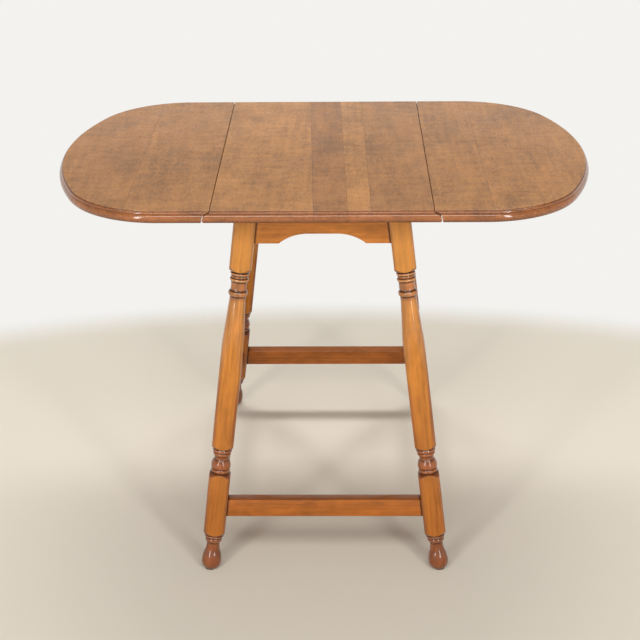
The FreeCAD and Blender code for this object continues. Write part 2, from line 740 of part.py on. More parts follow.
def hinges():
    """Four hinges with pins and screws; gives back the rooms to cut in the centre and in the right leaf."""
    half = "hinge_width / 2"
    heart = f"(hinge_width * {KNUCKLE_SHARE} / 2)"
    middle = [(f"-{heart}", heart)]
    outer = [(f"-{half}", f"-{heart} - metal_play"), (f"{heart} + metal_play", half)]
    middle_room = [(f"-{heart} - metal_play", f"{heart} + metal_play")]
    outer_rooms = [(f"-{half} - overrun", f"-{heart}"), (heart, f"{half} + overrun")]
    rooms = {}
    groups = {}
    flaps = {}
    for side, flap, sign, own, other in (("top", "hinge_short", "-", outer, middle_room),
                                         ("leaf", "hinge_long", "", middle, outer_rooms)):
        frames = hinge_screw_frames(flap, sign)
        holes = [screw_hole(f"{side}_flap_hole_{number}", "small", spot)
                 for number, spot in enumerate(frames)]
        screws = [screw(f"{side}_flap_screw_{number}", "small", spot)
                  for number, spot in enumerate(frames)]
        flaps[side] = hinge_flap(f"{side}_flap", flap, sign, own, other, holes)
        groups[side] = screws
        rooms[side] = holes
    for side, label in (("top", "hinge_top_flap"), ("leaf", "hinge_leaf_flap")):
        front = piece(f"{label}_right_front", flaps[side])
        left = piece(f"{label}_left_front", across(f"{label}_across", front))
        piece(f"{label}_right_back", behind(f"{label}_behind", front))
        piece(f"{label}_left_back", behind(f"{label}_opposite", left))
    pin = rod("hinge_pin", "hinge_pin_radius", "hinge_width", f"{HINGE} * {at('0', f'-{half}')} * {ALONG_Y}")
    piece("hinge_pins", on_four("hinge_pin_set", pin))
    top_screws = grouped("top_flap_screws", *groups["top"])
    piece("hinge_top_screws", on_four("top_flap_screw_set", top_screws))
    leaf_screws = grouped("leaf_flap_screws", *groups["leaf"])
    pair = grouped("leaf_flap_screw_pair", leaf_screws, behind("leaf_flap_screws_back", leaf_screws))
    piece("right_hinge_screws", pair)
    piece("left_hinge_screws", across("left_leaf_flap_screws", pair))
    play = "metal_play"
    gutter = f"(knuckle_radius + 2 * {play})"
    width = f"(hinge_width + 2 * {play})"
    deep = f"(hinge_plate + {play})"
    barrel_room = box("barrel_room", (f"2 * {gutter}", width, f"pin_rise + {gutter} + overrun"),
                      (f"-{gutter}", f"-{width} / 2", "-pin_rise - overrun"), HINGE)
    top_bed = box("top_flap_bed",
                  (f"hinge_short + {COVE_RADIUS} + overrun + {play}", width, f"{deep} + overrun"),
                  (f"-hinge_short - {play}", f"-{width} / 2", "-pin_rise - overrun"), HINGE)
    leaf_bed = box("leaf_flap_bed", (f"hinge_long + {play}", width, f"{deep} + overrun"),
                   ("0", f"-{width} / 2", "-pin_rise - overrun"), HINGE)
    centre_room = on_four("hinge_rooms", joined("hinge_room", barrel_room, top_bed, *rooms["top"]))
    leaf_room = joined("leaf_hinge_room", leaf_bed, *rooms["leaf"])
    return centre_room, grouped("leaf_hinge_rooms", leaf_room, behind("leaf_hinge_room_back", leaf_room))


# Pivots of the right stay, and frames along its arm and its link.
RAIL_X = f"({SEAM} - stay_in)"
RAIL_Z = f"({UNDERSIDE} + pin_rise - stay_down)"
LEAF_X = f"({SEAM} + stay_reach)"
LEAF_Z = f"({UNDERSIDE} + pin_rise - stay_drop)"
ELBOW_X = f"({RAIL_X} + stay_reach)"
ELBOW_Z = f"({RAIL_Z} - stay_drop)"
ARM = at(RAIL_X, "0", RAIL_Z, Y_AXIS, "atan(stay_drop / stay_reach)")
LINK = at(ELBOW_X, "0", ELBOW_Z, Y_AXIS, "-atan(stay_down / stay_in)")
# Inner faces of the stay's three layers along Y: rail ear, arm and leaf ear, link.
LAYER_STEP = "(stay_plate + metal_play)"
MIDDLE_LAYER = "(-stay_plate / 2)"
REAR_LAYER = f"({MIDDLE_LAYER} + {LAYER_STEP})"
FRONT_LAYER = f"({MIDDLE_LAYER} - {LAYER_STEP})"
# The apron's outer face in the right legs' plane, and the height of the rail bracket along it.
APRON_FACE = "(leg_square / 2 - apron_setback)"
BRACKET_LEVEL = f"({RAIL_Z} / cos({LEAN_X}))"


def bracket_screw_sides():
    """Where the bracket screws stand to each side of a stay."""
    side = f"(bracket_length * {BRACKET_SCREW_SHARE})"
    return (f"-{side}", side)


def rail_screw_frames():
    """Frames of the rail bracket's screws, driven into the right apron."""
    return [f"{RIGHT} * {at(f'{APRON_FACE} + stay_plate', side, BRACKET_LEVEL, Y_AXIS, '-90')}"
            for side in bracket_screw_sides()]


def leaf_screw_frames():
    """Frames of the leaf bracket's screws, driven up into the right leaf."""
    return [at(LEAF_X, side, f"{UNDERSIDE} - stay_plate") for side in bracket_screw_sides()]


def stay_rail_holes():
    """Holes for the rail bracket's screws."""
    return [screw_hole(f"rail_bracket_hole_{number}", "small", spot)
            for number, spot in enumerate(rail_screw_frames())]


def stay_leaf_holes():
    """Holes for the leaf bracket's screws."""
    return [screw_hole(f"leaf_bracket_hole_{number}", "small", spot)
            for number, spot in enumerate(leaf_screw_frames())]


def bar_between(name, frame, length, layer):
    """A flat bar with rounded ends between two pivots of a frame, bored for rivets."""
    half = "(stay_bar / 2)"
    solids = [box(f"{name}_bar", (length, "stay_plate", "stay_bar"), ("0", layer, f"-{half}"), frame)]
    bores = []
    for number, along in enumerate(("0", length)):
        solids.append(rod(f"{name}_end_{number}", half, "stay_plate",
                          f"{frame} * {at(along, layer)} * {ALONG_Y}"))
        bores.append(rod(f"{name}_bore_{number}", "stay_pin_radius + pin_play", "stay_plate + 2 * overrun",
                         f"{frame} * {at(along, f'{layer} - overrun')} * {ALONG_Y}"))
    return cut(name, joined(f"{name}_whole", *solids), *bores)


def eye(name, x, z, layer):
    """The rounded end of a bracket's ear and its bore."""
    end = rod(f"{name}_end", "stay_bar / 2", "stay_plate", f"{at(x, layer, z)} * {ALONG_Y}")
    bore = rod(f"{name}_bore", "stay_pin_radius + pin_play", "stay_plate + 2 * overrun",
               f"{at(x, f'{layer} - overrun', z)} * {ALONG_Y}")
    return end, bore


def rivet(name, x, z, low, high):
    """A rivet along Y with a head at each end."""
    stem = f"({high}) - ({low})"
    return turned(name, [
        ("0", "-rivet_head"),
        ("rivet_head_radius", "-rivet_head"),
        ("rivet_head_radius", "0"),
        ("stay_pin_radius", "0"),
        ("stay_pin_radius", stem),
        ("rivet_head_radius", stem),
        ("rivet_head_radius", f"{stem} + rivet_head"),
        ("0", f"{stem} + rivet_head"),
    ], f"{at(x, low, z)} * {ALONG_Y}")


def stays(apron_bar):
    """A folding stay under each leaf; the four pivots of each stand on a parallelogram."""
    half = "(stay_bar / 2)"
    plate = box("rail_bracket_plate", ("stay_plate", "bracket_length", "bracket_height"),
                (APRON_FACE, "-bracket_length / 2", f"{BRACKET_LEVEL} - bracket_height / 2"), RIGHT)
    start = leg_axis(SLOPE_X, FOOT_X, RAIL_Z)
    ear = box("rail_ear", (f"{RAIL_X} - {start}", "stay_plate", "stay_bar"),
              (start, FRONT_LAYER, f"{RAIL_Z} - {half}"))
    end, bore = eye("rail_eye", RAIL_X, RAIL_Z, FRONT_LAYER)
    seated = cut("rail_ear_seated", ear, apron_bar)
    rail_bracket = cut("rail_bracket", joined("rail_bracket_whole", plate, seated, end), bore,
                       *[screw_hole(f"rail_plate_hole_{number}", "small", spot)
                         for number, spot in enumerate(rail_screw_frames())])
    arm = bar_between("stay_arm", ARM, "sqrt(stay_reach ^ 2 + stay_drop ^ 2)", MIDDLE_LAYER)
    link = bar_between("stay_link", LINK, "sqrt(stay_in ^ 2 + stay_down ^ 2)", REAR_LAYER)
    pad = box("leaf_bracket_plate", ("bracket_height", "bracket_length", "stay_plate"),
              (f"{LEAF_X} - bracket_height / 2", "-bracket_length / 2", f"{UNDERSIDE} - stay_plate"))
    drop = box("leaf_ear", ("stay_bar", "stay_plate", f"{UNDERSIDE} - {LEAF_Z}"),
               (f"{LEAF_X} - {half}", MIDDLE_LAYER, LEAF_Z))
    end, bore = eye("leaf_eye", LEAF_X, LEAF_Z, MIDDLE_LAYER)
    leaf_bracket = cut("leaf_bracket", joined("leaf_bracket_whole", pad, drop, end), bore,
                       *[screw_hole(f"leaf_plate_hole_{number}", "small", spot)
                         for number, spot in enumerate(leaf_screw_frames())])
    middle_back = f"{MIDDLE_LAYER} + stay_plate + metal_play"
    rear_back = f"{REAR_LAYER} + stay_plate + metal_play"
    right = {
        "rail_bracket": rail_bracket,
        "stay_arm": arm,
        "stay_link": link,
        "leaf_bracket": leaf_bracket,
        "rail_rivet": rivet("rail_rivet", RAIL_X, RAIL_Z, FRONT_LAYER, middle_back),
        "elbow_rivet": rivet("elbow_rivet", ELBOW_X, ELBOW_Z, MIDDLE_LAYER, rear_back),
        "leaf_rivet": rivet("leaf_rivet", LEAF_X, LEAF_Z, MIDDLE_LAYER, rear_back),
    }
    for name, shape in right.items():
        piece(f"right_{name}", shape)
        piece(f"left_{name}", across(f"left_{name}_image", shape))
    rail_screws = grouped("rail_screws", *[screw(f"rail_screw_{number}", "small", spot)
                                           for number, spot in enumerate(rail_screw_frames())])
    left_rail_screws = across("rail_screws_left", rail_screws)
    piece("stay_rail_screws", grouped("rail_screw_set", rail_screws, left_rail_screws))
    leaf_screws = grouped("leaf_screws", *[screw(f"leaf_screw_{number}", "small", spot)
                                           for number, spot in enumerate(leaf_screw_frames())])
    piece("right_stay_screws", leaf_screws)
    piece("left_stay_screws", across("left_leaf_screws", leaf_screws))


def straight(place):
    """A board's side that runs straight from front to back at one distance from the middle of the top."""
    return place, place


def board(label, panel, near, far):
    """One board of a panel, between two sides given by their places at the front and at the back."""
    deep = f"({HALF_DEPTH} + {EDGE_OUT} + overrun)"
    middle = at("0", "0", f"{UNDERSIDE} + top_thickness / 2")
    strip = padded(f"{label}_strip", "XY_Plane", [
        (near[0], f"-{deep}"),
        (far[0], f"-{deep}"),
        (far[1], deep),
        (near[1], deep),
    ], "top_thickness + 2 * overrun", middle)
    piece(label, shared(f"{label}_board", panel, strip))


def boards(rising_rooms, centre_rooms, leaf_rooms):
    """The top's boards, cut from the panels that they were glued up into."""
    centre = cut("centre_bored", centre_panel(), rising_rooms, centre_rooms)
    side = f"({SEAM} + {ROUND_RADIUS} + overrun)"
    edge = straight(f"-{SEAM}")
    for number, shares in enumerate(CENTRE_BOARD_SHARES):
        near = edge
        edge = tuple(f"{place} + centre_width * {share}" for place, share in zip(near, shares))
        first = number == 0
        last = number == len(CENTRE_BOARD_SHARES) - 1
        board(f"centre_board_{number + 1}", centre, straight(f"-{side}") if first else near,
              straight(side) if last else edge)
    right = cut("right_leaf_bored", right_leaf(), leaf_rooms, *stay_leaf_holes())
    far = f"({SEAM} + leaf_reach + {EDGE_OUT} + overrun)"
    glued = straight(f"{SEAM} + right_leaf_seam")
    board("right_leaf_inner_board", right, straight(SEAM), glued)
    board("right_leaf_outer_board", right, glued, straight(far))
    left = across("left_leaf_bored", right)
    glued = straight(f"-({SEAM} + left_leaf_seam)")
    board("left_leaf_inner_board", left, glued, straight(f"-{SEAM}"))
    board("left_leaf_outer_board", left, straight(f"-{far}"), glued)


def check_and_write():
    """Stop at any failed feature or bad solid, then write one file for each sub-part."""
    doc.recompute()
    failed = [thing.Name for thing in doc.Objects if {"Invalid", "Error"} & set(thing.State)]
    for thing in parts:
        shape = thing.Shape
        if shape.isNull() or not shape.isValid() or not shape.Solids or shape.Volume <= 0:
            failed.append(thing.Label)
    if failed:
        raise RuntimeError(f"not sound: {failed}")
    os.makedirs("parts", exist_ok=True)
    for thing in parts:
        thing.Shape.exportStep(os.path.join("parts", f"{thing.Label}.step"))


rising_rooms, apron_bar = underframe()
centre_rooms, leaf_rooms = hinges()
stays(apron_bar)
boards(rising_rooms, centre_rooms, leaf_rooms)
check_and_write()
print(len(parts), "sub-parts")
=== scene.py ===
"""Looks of a pembroke table: its boards, turned legs, rails, hinges and stays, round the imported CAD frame.

Metres, in the CAD's own frame: +Z up, +X along the opened leaves, origin on the floor under the top.
"""
import json
import math
from contextlib import contextmanager
from itertools import product

import bmesh
import bpy
import numpy as np
from bpy.props import FloatProperty, FloatVectorProperty, PointerProperty
from mathutils import Matrix, Vector


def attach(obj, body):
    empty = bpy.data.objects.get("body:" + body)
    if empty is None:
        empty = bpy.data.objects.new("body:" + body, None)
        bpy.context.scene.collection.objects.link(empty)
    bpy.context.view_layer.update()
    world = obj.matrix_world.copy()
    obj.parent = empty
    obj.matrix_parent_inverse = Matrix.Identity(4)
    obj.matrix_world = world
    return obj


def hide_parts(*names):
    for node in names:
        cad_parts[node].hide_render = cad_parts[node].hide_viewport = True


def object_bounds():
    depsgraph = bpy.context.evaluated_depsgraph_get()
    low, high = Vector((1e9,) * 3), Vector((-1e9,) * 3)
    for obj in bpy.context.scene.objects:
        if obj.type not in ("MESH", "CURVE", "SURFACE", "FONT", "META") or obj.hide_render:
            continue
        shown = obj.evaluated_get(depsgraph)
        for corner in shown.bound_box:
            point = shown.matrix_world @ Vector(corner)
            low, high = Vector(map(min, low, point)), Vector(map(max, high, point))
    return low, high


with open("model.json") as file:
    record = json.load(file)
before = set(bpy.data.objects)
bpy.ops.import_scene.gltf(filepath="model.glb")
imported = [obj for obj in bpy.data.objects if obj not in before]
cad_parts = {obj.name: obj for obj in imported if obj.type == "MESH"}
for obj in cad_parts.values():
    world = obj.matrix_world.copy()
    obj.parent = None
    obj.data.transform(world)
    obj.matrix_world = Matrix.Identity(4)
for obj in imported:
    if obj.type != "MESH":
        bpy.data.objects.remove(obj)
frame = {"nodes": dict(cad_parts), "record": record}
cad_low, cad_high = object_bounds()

bl_info = {
    "name": "Pembroke table",
    "version": (1, 0, 0),
    "blender": (4, 5, 0),
    "location": "3D View > Sidebar > Pembroke table",
    "description": "Builds the boards, legs, rails and fittings of a drop-leaf table round its CAD frame",
    "category": "Object",
}

MM = 0.001
RECORD = frame["record"]
BODY_OF = {node: body for body, nodes in RECORD["behaviour"]["bodies"].items() for node in nodes}
SLOT_OF = {part["node"]: part["material_slot"] for part in RECORD["subparts"]}
SIDES = (("left", -1), ("right", 1))
ENDS = (("front", -1), ("back", 1))
CORNERS = [(end, side, sign, way) for end, sign in ENDS for side, way in SIDES]


def linear(code):
    """Linear colour of an sRGB hex code."""
    shares = [int(code[place:place + 2], 16) / 255 for place in (1, 3, 5)]
    return tuple(s / 12.92 if s <= 0.04045 else ((s + 0.055) / 1.055) ** 2.4 for s in shares)


def length(name, description, millimetres):
    """A length that a user may change."""
    return FloatProperty(name=name, description=description, default=millimetres * MM, unit="LENGTH",
                         precision=4)


def tone(name, description, code):
    """A colour that a user may change."""
    return FloatVectorProperty(name=name, description=description, default=linear(code), subtype="COLOR",
                               size=3)


class PembrokeTop(bpy.types.PropertyGroup):
    """Sizes of the boards, their moulded edge and their rule joints."""
    height: length("Height", "Floor to top surface", cad_high.z / MM)
    thickness: length("Thickness", "Thickness of every board", 19)
    seam: length("Seam", "Hinge seam from the middle of the top", 174.5)
    half_depth: length("Half depth", "Arris from the middle of the top, front and back", 298)
    leaf_reach: length("Leaf reach", "Seam to the arris at a leaf's end", 273.9)
    leaf_straight: length("Leaf straight", "Straight run of a leaf's edge beside the seam", 82)
    leaf_corner: length("Leaf corner", "Radius of a leaf's corners", 163.2)
    quirk: length("Quirk", "Small square step under the arris", 1.4)
    ovolo: length("Ovolo", "Radius of the quarter round", 2.9)
    fillet: length("Fillet", "Small flat between quarter round and nose", 1.2)
    nose: length("Nose", "Projection of the nose past the quarter round", 3.2)
    ease: length("Eased arris", "Rounding of the top's arris", 0.5)
    rule_round: length("Rule round", "Radius of the rule joint's round", 12)
    rule_gap: length("Rule gap", "Play between the round and the cove", 1.8)
    seam_gap: length("Seam gap", "Open seam between centre and leaf", 1.2)
    pin_rise: length("Pin rise", "Hinge pin above the underside", 3)


class PembrokeLegs(bpy.types.PropertyGroup):
    """Sizes of the turned legs."""
    square: length("Square", "Side of the square blocks", 36)
    chamfer: length("Chamfer", "Bevel on the blocks' corners", 4.5)
    soft: length("Soft shoulder", "Rounding where a turning runs into a block", 0.7)
    worn: length("Worn arris", "Rounding of the long arrises of blocks and shaft", 1.6)
    foot_x: length("Foot across", "Leg axis from the middle on the floor", 199)
    foot_y: length("Foot depth", "Leg axis from the middle on the floor, front to back", 302)
    splay_x: length("Splay across", "How far the foot stands out from the leg's top end", 80)
    splay_y: length("Splay depth", "How far the foot stands out, front to back", 70)
    lower_block_bottom: length("Lower block bottom", "Top of the foot turning, along the leg", 66.4)
    lower_block_top: length("Lower block top", "Top of the stretcher block, along the leg", 184.5)
    shaft_bottom: length("Shaft bottom", "Bottom of the shaft, along the leg", 229.0)
    taper_bottom: length("Taper bottom", "Where the shaft starts to taper", 307)
    taper_top: length("Taper top", "End of the taper", 498)
    upper_block_bottom: length("Upper block bottom", "Bottom of the apron block, along the leg", 543.3)


class PembrokeRails(bpy.types.PropertyGroup):
    """Sizes of the aprons, stretchers and corner blocks."""
    apron_height: length("Apron height", "Depth of the aprons below the top", 56)
    apron_thick: length("Apron thickness", "Thickness of the aprons", 18)
    apron_out: length("Apron face", "Apron face from the plane of the leg axes", 12)
    arch_span: length("Arch span", "Width of the arch at the lower edge", 140)
    arch_flat: length("Arch flat", "Flat stretch at the crown", 48)
    arch_rise: length("Arch rise", "Height of the arch", 16)
    stretcher_level: length("Stretcher level", "Middle of the stretchers above the floor", 117.7)
    stretcher_height: length("Stretcher height", "Height of the stretchers", 31)
    stretcher_thick: length("Stretcher thickness", "Thickness of the stretchers", 22)
    eased: length("Eased edge", "Rounding of the rails' edges", 1.3)
    block_height: length("Corner block height", "Height of the corner blocks", 40)
    block_thick: length("Corner block thickness", "From the leg's corner to the block's free face", 18)


class PembrokeFittings(bpy.types.PropertyGroup):
    """Sizes of the hinges, stays, screws and rivets."""
    hinge_place: length("Hinge place", "Hinge middle from the middle of the top", 190)
    hinge_width: length("Hinge width", "Hinge along the seam", 32)
    hinge_short: length("Short flap", "Flap on the centre, from the pin", 28)
    hinge_long: length("Long flap", "Flap on the leaf, from the pin", 46)
    hinge_plate: length("Flap thickness", "Thickness of the flaps", 1.6)
    knuckle: length("Knuckle", "Outside radius of the knuckles", 2.9)
    play: length("Play", "Gap between metal pieces that pass each other", 0.3)
    stay_in: length("Rail pivot inboard", "Rail pivot inboard of the hinge pin", 16)
    stay_down: length("Rail pivot down", "Rail pivot below the hinge pin", 22)
    stay_reach: length("Stay reach", "Leaf pivot outboard of the hinge pin", 110)
    stay_drop: length("Stay drop", "Leaf pivot below the hinge pin", 14)
    stay_plate: length("Stay thickness", "Thickness of the stay's bars and plates", 2)
    bracket_screw: length("Bracket screw", "Bracket screws to each side of the stay", 9.9)
    small_head: length("Small screw head", "Head radius of hinge and stay screws", 2.8)
    small_sink: length("Small screw sink", "Depth of their countersunk heads", 1.5)
    small_shank: length("Small screw shank", "Shank radius", 1.4)
    small_length: length("Small screw length", "Length", 12)
    long_head: length("Block screw head", "Head radius of the corner block and top fixing screws", 4)
    long_sink: length("Block screw sink", "Depth of their countersunk heads", 2.4)
    long_shank: length("Block screw shank", "Shank radius", 2)
    block_length: length("Block screw length", "Length of the corner block screws", 34)
    rising_length: length("Top fixing length", "Length of the screws up into the top", 50)
    rivet_head: length("Rivet head", "Radius of the rivet heads", 4.2)
    rivet_dome: length("Rivet dome", "Height of the rivet heads", 1.2)
    rivet_stem: length("Rivet stem", "Radius of the rivets", 2.5)


class PembrokeFinish(bpy.types.PropertyGroup):
    """Colours of the woods, the metals and the stage."""
    top: tone("Top", "Middle tone of the top's boards", "#9B6A39")
    edge: tone("Moulded edge", "Redder stain on the moulded edge", "#975B2F")
    leg: tone("Legs", "Honey tone of the legs' flats", "#B9762D")
    turning: tone("Turnings", "Deeper stain that the turnings took", "#A05C2C")
    # Painted highlight: the pale tone laid on the beads' crests.
    painted_crest_highlight: tone("Crests", "Pale tone of beads whose stain is rubbed thin", "#D39A62")
    # Painted shade: the red brown that the legs darken to toward the floor.
    floor_shade: tone("Shade_near_floor", "Red brown that the legs darken to near the floor", "#80390E")
    # Painted light: the straw tone that the legs pale to toward the top.
    upper_light: tone("Light_near_top", "Straw tone that the legs pale to under the top", "#B4824A")
    apron: tone("Aprons", "Golden tone of the aprons", "#B16C2A")
    stretcher: tone("Stretchers", "Red brown of the stretchers", "#9B571E")
    # One dark colour for glazing at joints and glue lines and for painted shade in grooves and recesses.
    glaze_and_shade: tone("Glazing_and_shade", "Dark glaze left in grooves and joints", "#45240F")
    block: tone("Corner blocks", "Bare secondary wood", "#B1916C")
    brass: tone("Brass", "Dull brass of the hinges", "#A8874F")
    zinc: tone("Zinc", "Plated steel of the stays", "#A9A79F")
    steel: tone("Steel", "Screws", "#A09787")
    floor: tone("Floor", "Pale floor", "#DCD4C5")
    backdrop: tone("Backdrop", "White that the floor fades to", "#F3F2EF")


def sizes(name):
    """One of the scene's property groups."""
    return getattr(bpy.context.scene, f"pembroke_{name}")


def shade(colour, share=1):
    """A lighter or darker tone of a linear colour, as RGBA."""
    return tuple(min(1.0, part * share) for part in colour) + (1.0,)


def blank(name):
    """A new material, its node tree and its shader."""
    material = bpy.data.materials.new(name)
    material.use_nodes = True
    return material, material.node_tree, material.node_tree.nodes["Principled BSDF"]


def feed(node, links):
    """Give inputs of a node a value or a source socket each."""
    for place, source in links.items():
        if isinstance(source, bpy.types.NodeSocket):
            node.id_data.links.new(source, node.inputs[place])
        else:
            node.inputs[place].default_value = source


def add(tree, kind, links, **settings):
    """One node with its settings and what feeds it."""
    node = tree.nodes.new(kind)
    for name, setting in settings.items():
        setattr(node, name, setting)
    feed(node, links)
    return node


def maths(tree, operation, *values):
    """One sum on values or sockets."""
    return add(tree, "ShaderNodeMath", dict(enumerate(values)), operation=operation).outputs[0]


def ranged(tree, value, start, end, low=0.0, high=1.0, smooth=False):
    """A value carried from one range to another and held at its ends."""
    links = {"Value": value, "From Min": start, "From Max": end, "To Min": low, "To Max": high}
    way = "SMOOTHSTEP" if smooth else "LINEAR"
    return add(tree, "ShaderNodeMapRange", links, interpolation_type=way).outputs[0]


def mixed(tree, share, under, over):
    """One colour laid over another, by a share."""
    return add(tree, "ShaderNodeMix", {0: share, 6: under, 7: over}, data_type="RGBA").outputs[2]


def ramped(tree, value, *stops):
    """The colour for a value, from stops that are a place and a colour each."""
    ramp = add(tree, "ShaderNodeValToRGB", {"Fac": value})
    marks = ramp.color_ramp.elements
    marks[0].position, marks[0].color = stops[0]
    marks[1].position, marks[1].color = stops[-1]
    for place, colour in stops[1:-1]:
        marks.new(place).color = colour
    return ramp.outputs[0]


def noise(tree, spot, size, detail, distortion=0.0):
    """Soft noise of a size in millimetres."""
    links = {"Vector": spot, "Scale": 1 / (size * MM), "Detail": detail, "Distortion": distortion}
    return add(tree, "ShaderNodeTexNoise", links).outputs["Fac"]


def bumped(tree, height, strength, depth):
    """Normals of a small relief, its depth in millimetres."""
    links = {"Height": height, "Strength": strength, "Distance": depth * MM}
    return add(tree, "ShaderNodeBump", links).outputs[0]


def attribute(tree, name, kind="Fac"):
    """What a mesh holds under a name."""
    return add(tree, "ShaderNodeAttribute", {}, attribute_name=name).outputs[kind]


def position(tree):
    """Place on the object, in its own frame."""
    return add(tree, "ShaderNodeTexCoord", {}).outputs["Object"]


def split(tree, vector):
    """The X, Y and Z of a vector."""
    return add(tree, "ShaderNodeSeparateXYZ", {"Vector": vector}).outputs


# Turns that lay the grain, which the recipes run along Z, along Y or along X.
GRAIN_ALONG_Y = (math.pi / 2, 0, 0)
GRAIN_ALONG_X = (0, -math.pi / 2, 0)
GRAIN_ALONG_Z = (0, 0, 0)
# Noise layers of each wood: width and length in millimetres, strength, detail.
TOP_FIGURE = ((75, 170, 0.48, 2), (14, 60, 0.24, 2), (46, 13, 0.32, 2), (8, 90, 0.14, 2), (5, 14, 0.34, 2),
              (2.4, 6.0, 0.42, 2))
LEG_FIGURE = ((14, 190, 0.46, 2), (3.2, 150, 0.48, 3), (1.6, 60, 0.18, 2), (20, 42, 0.42, 2))
RAIL_FIGURE = ((16, 160, 0.40, 2), (3.4, 120, 0.34, 3), (1.6, 50, 0.16, 2), (12, 26, 0.40, 2))
# Growth rings: spacing in millimetres, strength, waviness.
TOP_RINGS = (14, 0.09, 3.0)
LEG_RINGS = (7, 0.12, 2.0)
# A ring wave at a scale of one repeats at this distance in metres.
RING_WAVE = 0.314
# How the tree's heart leaned from the sawn piece, and its rings' stretch along the grain.
HEART_LEAN, HEART_STRETCH = (0.10, 0.05, 0), (1, 1, 0.4)
# Pores, drawn about twice as coarse as maple's so that they show: width and length in millimetres.
PORE = (1.1, 9)
# A metre in millimetres, the size of noise in coordinates that are stretched already.
UNIT = 1000


def figured_wood(name, colour, turn, shift, figure, rings, place=None):
    """Maple under a stain: streaks and growth rings along the grain, soft blotches, short dark pores.

    Gives the material, tree, shader, stained colour, position and figure value, to be finished.
    """
    material, tree, shader = blank(name)
    spot = attribute(tree, place, "Vector") if place else position(tree)
    grain = add(tree, "ShaderNodeMapping", {"Vector": spot, "Rotation": turn, "Location": shift}).outputs[0]

    def stretched(wide, long):
        scale = (1 / (wide * MM), 1 / (wide * MM), 1 / (long * MM))
        return add(tree, "ShaderNodeMapping", {"Vector": grain, "Scale": scale}).outputs[0]

    def layered(value, layer, strength):
        return maths(tree, "MULTIPLY_ADD", maths(tree, "SUBTRACT", layer, 0.5), strength, value)

    value = 0.5
    for wide, long, strength, detail in figure:
        value = layered(value, noise(tree, stretched(wide, long), UNIT, detail, 0.5), 2 * strength)
    spacing, strength, waviness = rings
    heart = add(tree, "ShaderNodeMapping", {"Vector": grain, "Scale": HEART_STRETCH, "Rotation": HEART_LEAN})
    links = {"Vector": heart.outputs[0], "Scale": RING_WAVE / (spacing * MM), "Distortion": waviness,
             "Detail": 2.0, "Detail Scale": 0.6}
    ring = add(tree, "ShaderNodeTexWave", links, wave_type="RINGS", rings_direction="Z", wave_profile="SIN")
    value = layered(value, ring.outputs["Fac"], strength)
    wood = ramped(tree, value, (0.14, shade(colour, 0.66)), (0.5, shade(colour)), (0.86, shade(colour, 1.30)))
    pores = noise(tree, stretched(*PORE), UNIT, 1.0)
    wood = mixed(tree, ranged(tree, pores, 0.60, 0.72, 0.0, 0.16, smooth=True), wood, shade(colour, 0.42))
    feed(shader, {"Normal": bumped(tree, pores, 0.12, 0.15)})
    return material, tree, shader, wood, spot, value


# Lacquer: weight and roughness of the coat on a board's surface and edge, a leg's flats and turnings, a rail.
BOARD_COAT, BOARD_SATIN = (0.55, 1.0), (0.15, 0.10)
LEG_COAT, LEG_SATIN = (0.35, 1.0), 0.08
RAIL_COAT, RAIL_SATIN = 0.4, 0.16
FILM = 0.1


def lacquered(tree, shader, colour, spot, coat, coat_rough, film=FILM):
    """Brushed lacquer over a stained wood: an even film, faintly uneven where the brush ran."""
    feed(shader, {
        "Base Color": colour,
        "Roughness": ranged(tree, noise(tree, spot, 45, 3.0), 0.3, 0.7, 0.39, 0.53),
        "Coat Normal": bumped(tree, noise(tree, spot, 9, 1.0), 0.10, 0.12),
        "Coat Weight": coat, "Coat Roughness": coat_rough, "Specular IOR Level": film})


def dark_glaze_and_shade(tree, colour, factor, spot):
    """Dark glazing at joints and painted shade elsewhere, laid where a factor says, unevenly."""
    uneven = ranged(tree, noise(tree, spot, 7, 2.0), 0.3, 0.7, 0.85, 1.0)
    return mixed(tree, maths(tree, "MULTIPLY", factor, uneven), colour, shade(sizes("finish").glaze_and_shade))


# Painted shade on the moulded edge, dark at quirk, fillet and lower arris: depth shares of the thickness, and
# strengths.
EDGE_SHADE = ((0.0, 0.0), (0.045, 0.10), (0.074, 0.85), (0.11, 0.18), (0.21, 0.15), (0.268, 0.85),
              (0.325, 0.10), (0.62, 0.12), (0.90, 0.45), (0.985, 0.85), (1.0, 0.5))
GLUE_LINE, GLUE_LINE_STRENGTH = 0.55 * MM, 0.75
# Depths over which the edge's own stain comes in.
EDGE_STAIN = (0.05 * MM, 0.8 * MM)
# The underside was sealed with one thin dull coat, from these depth shares on.
UNDERSIDE = (0.96, 0.995)


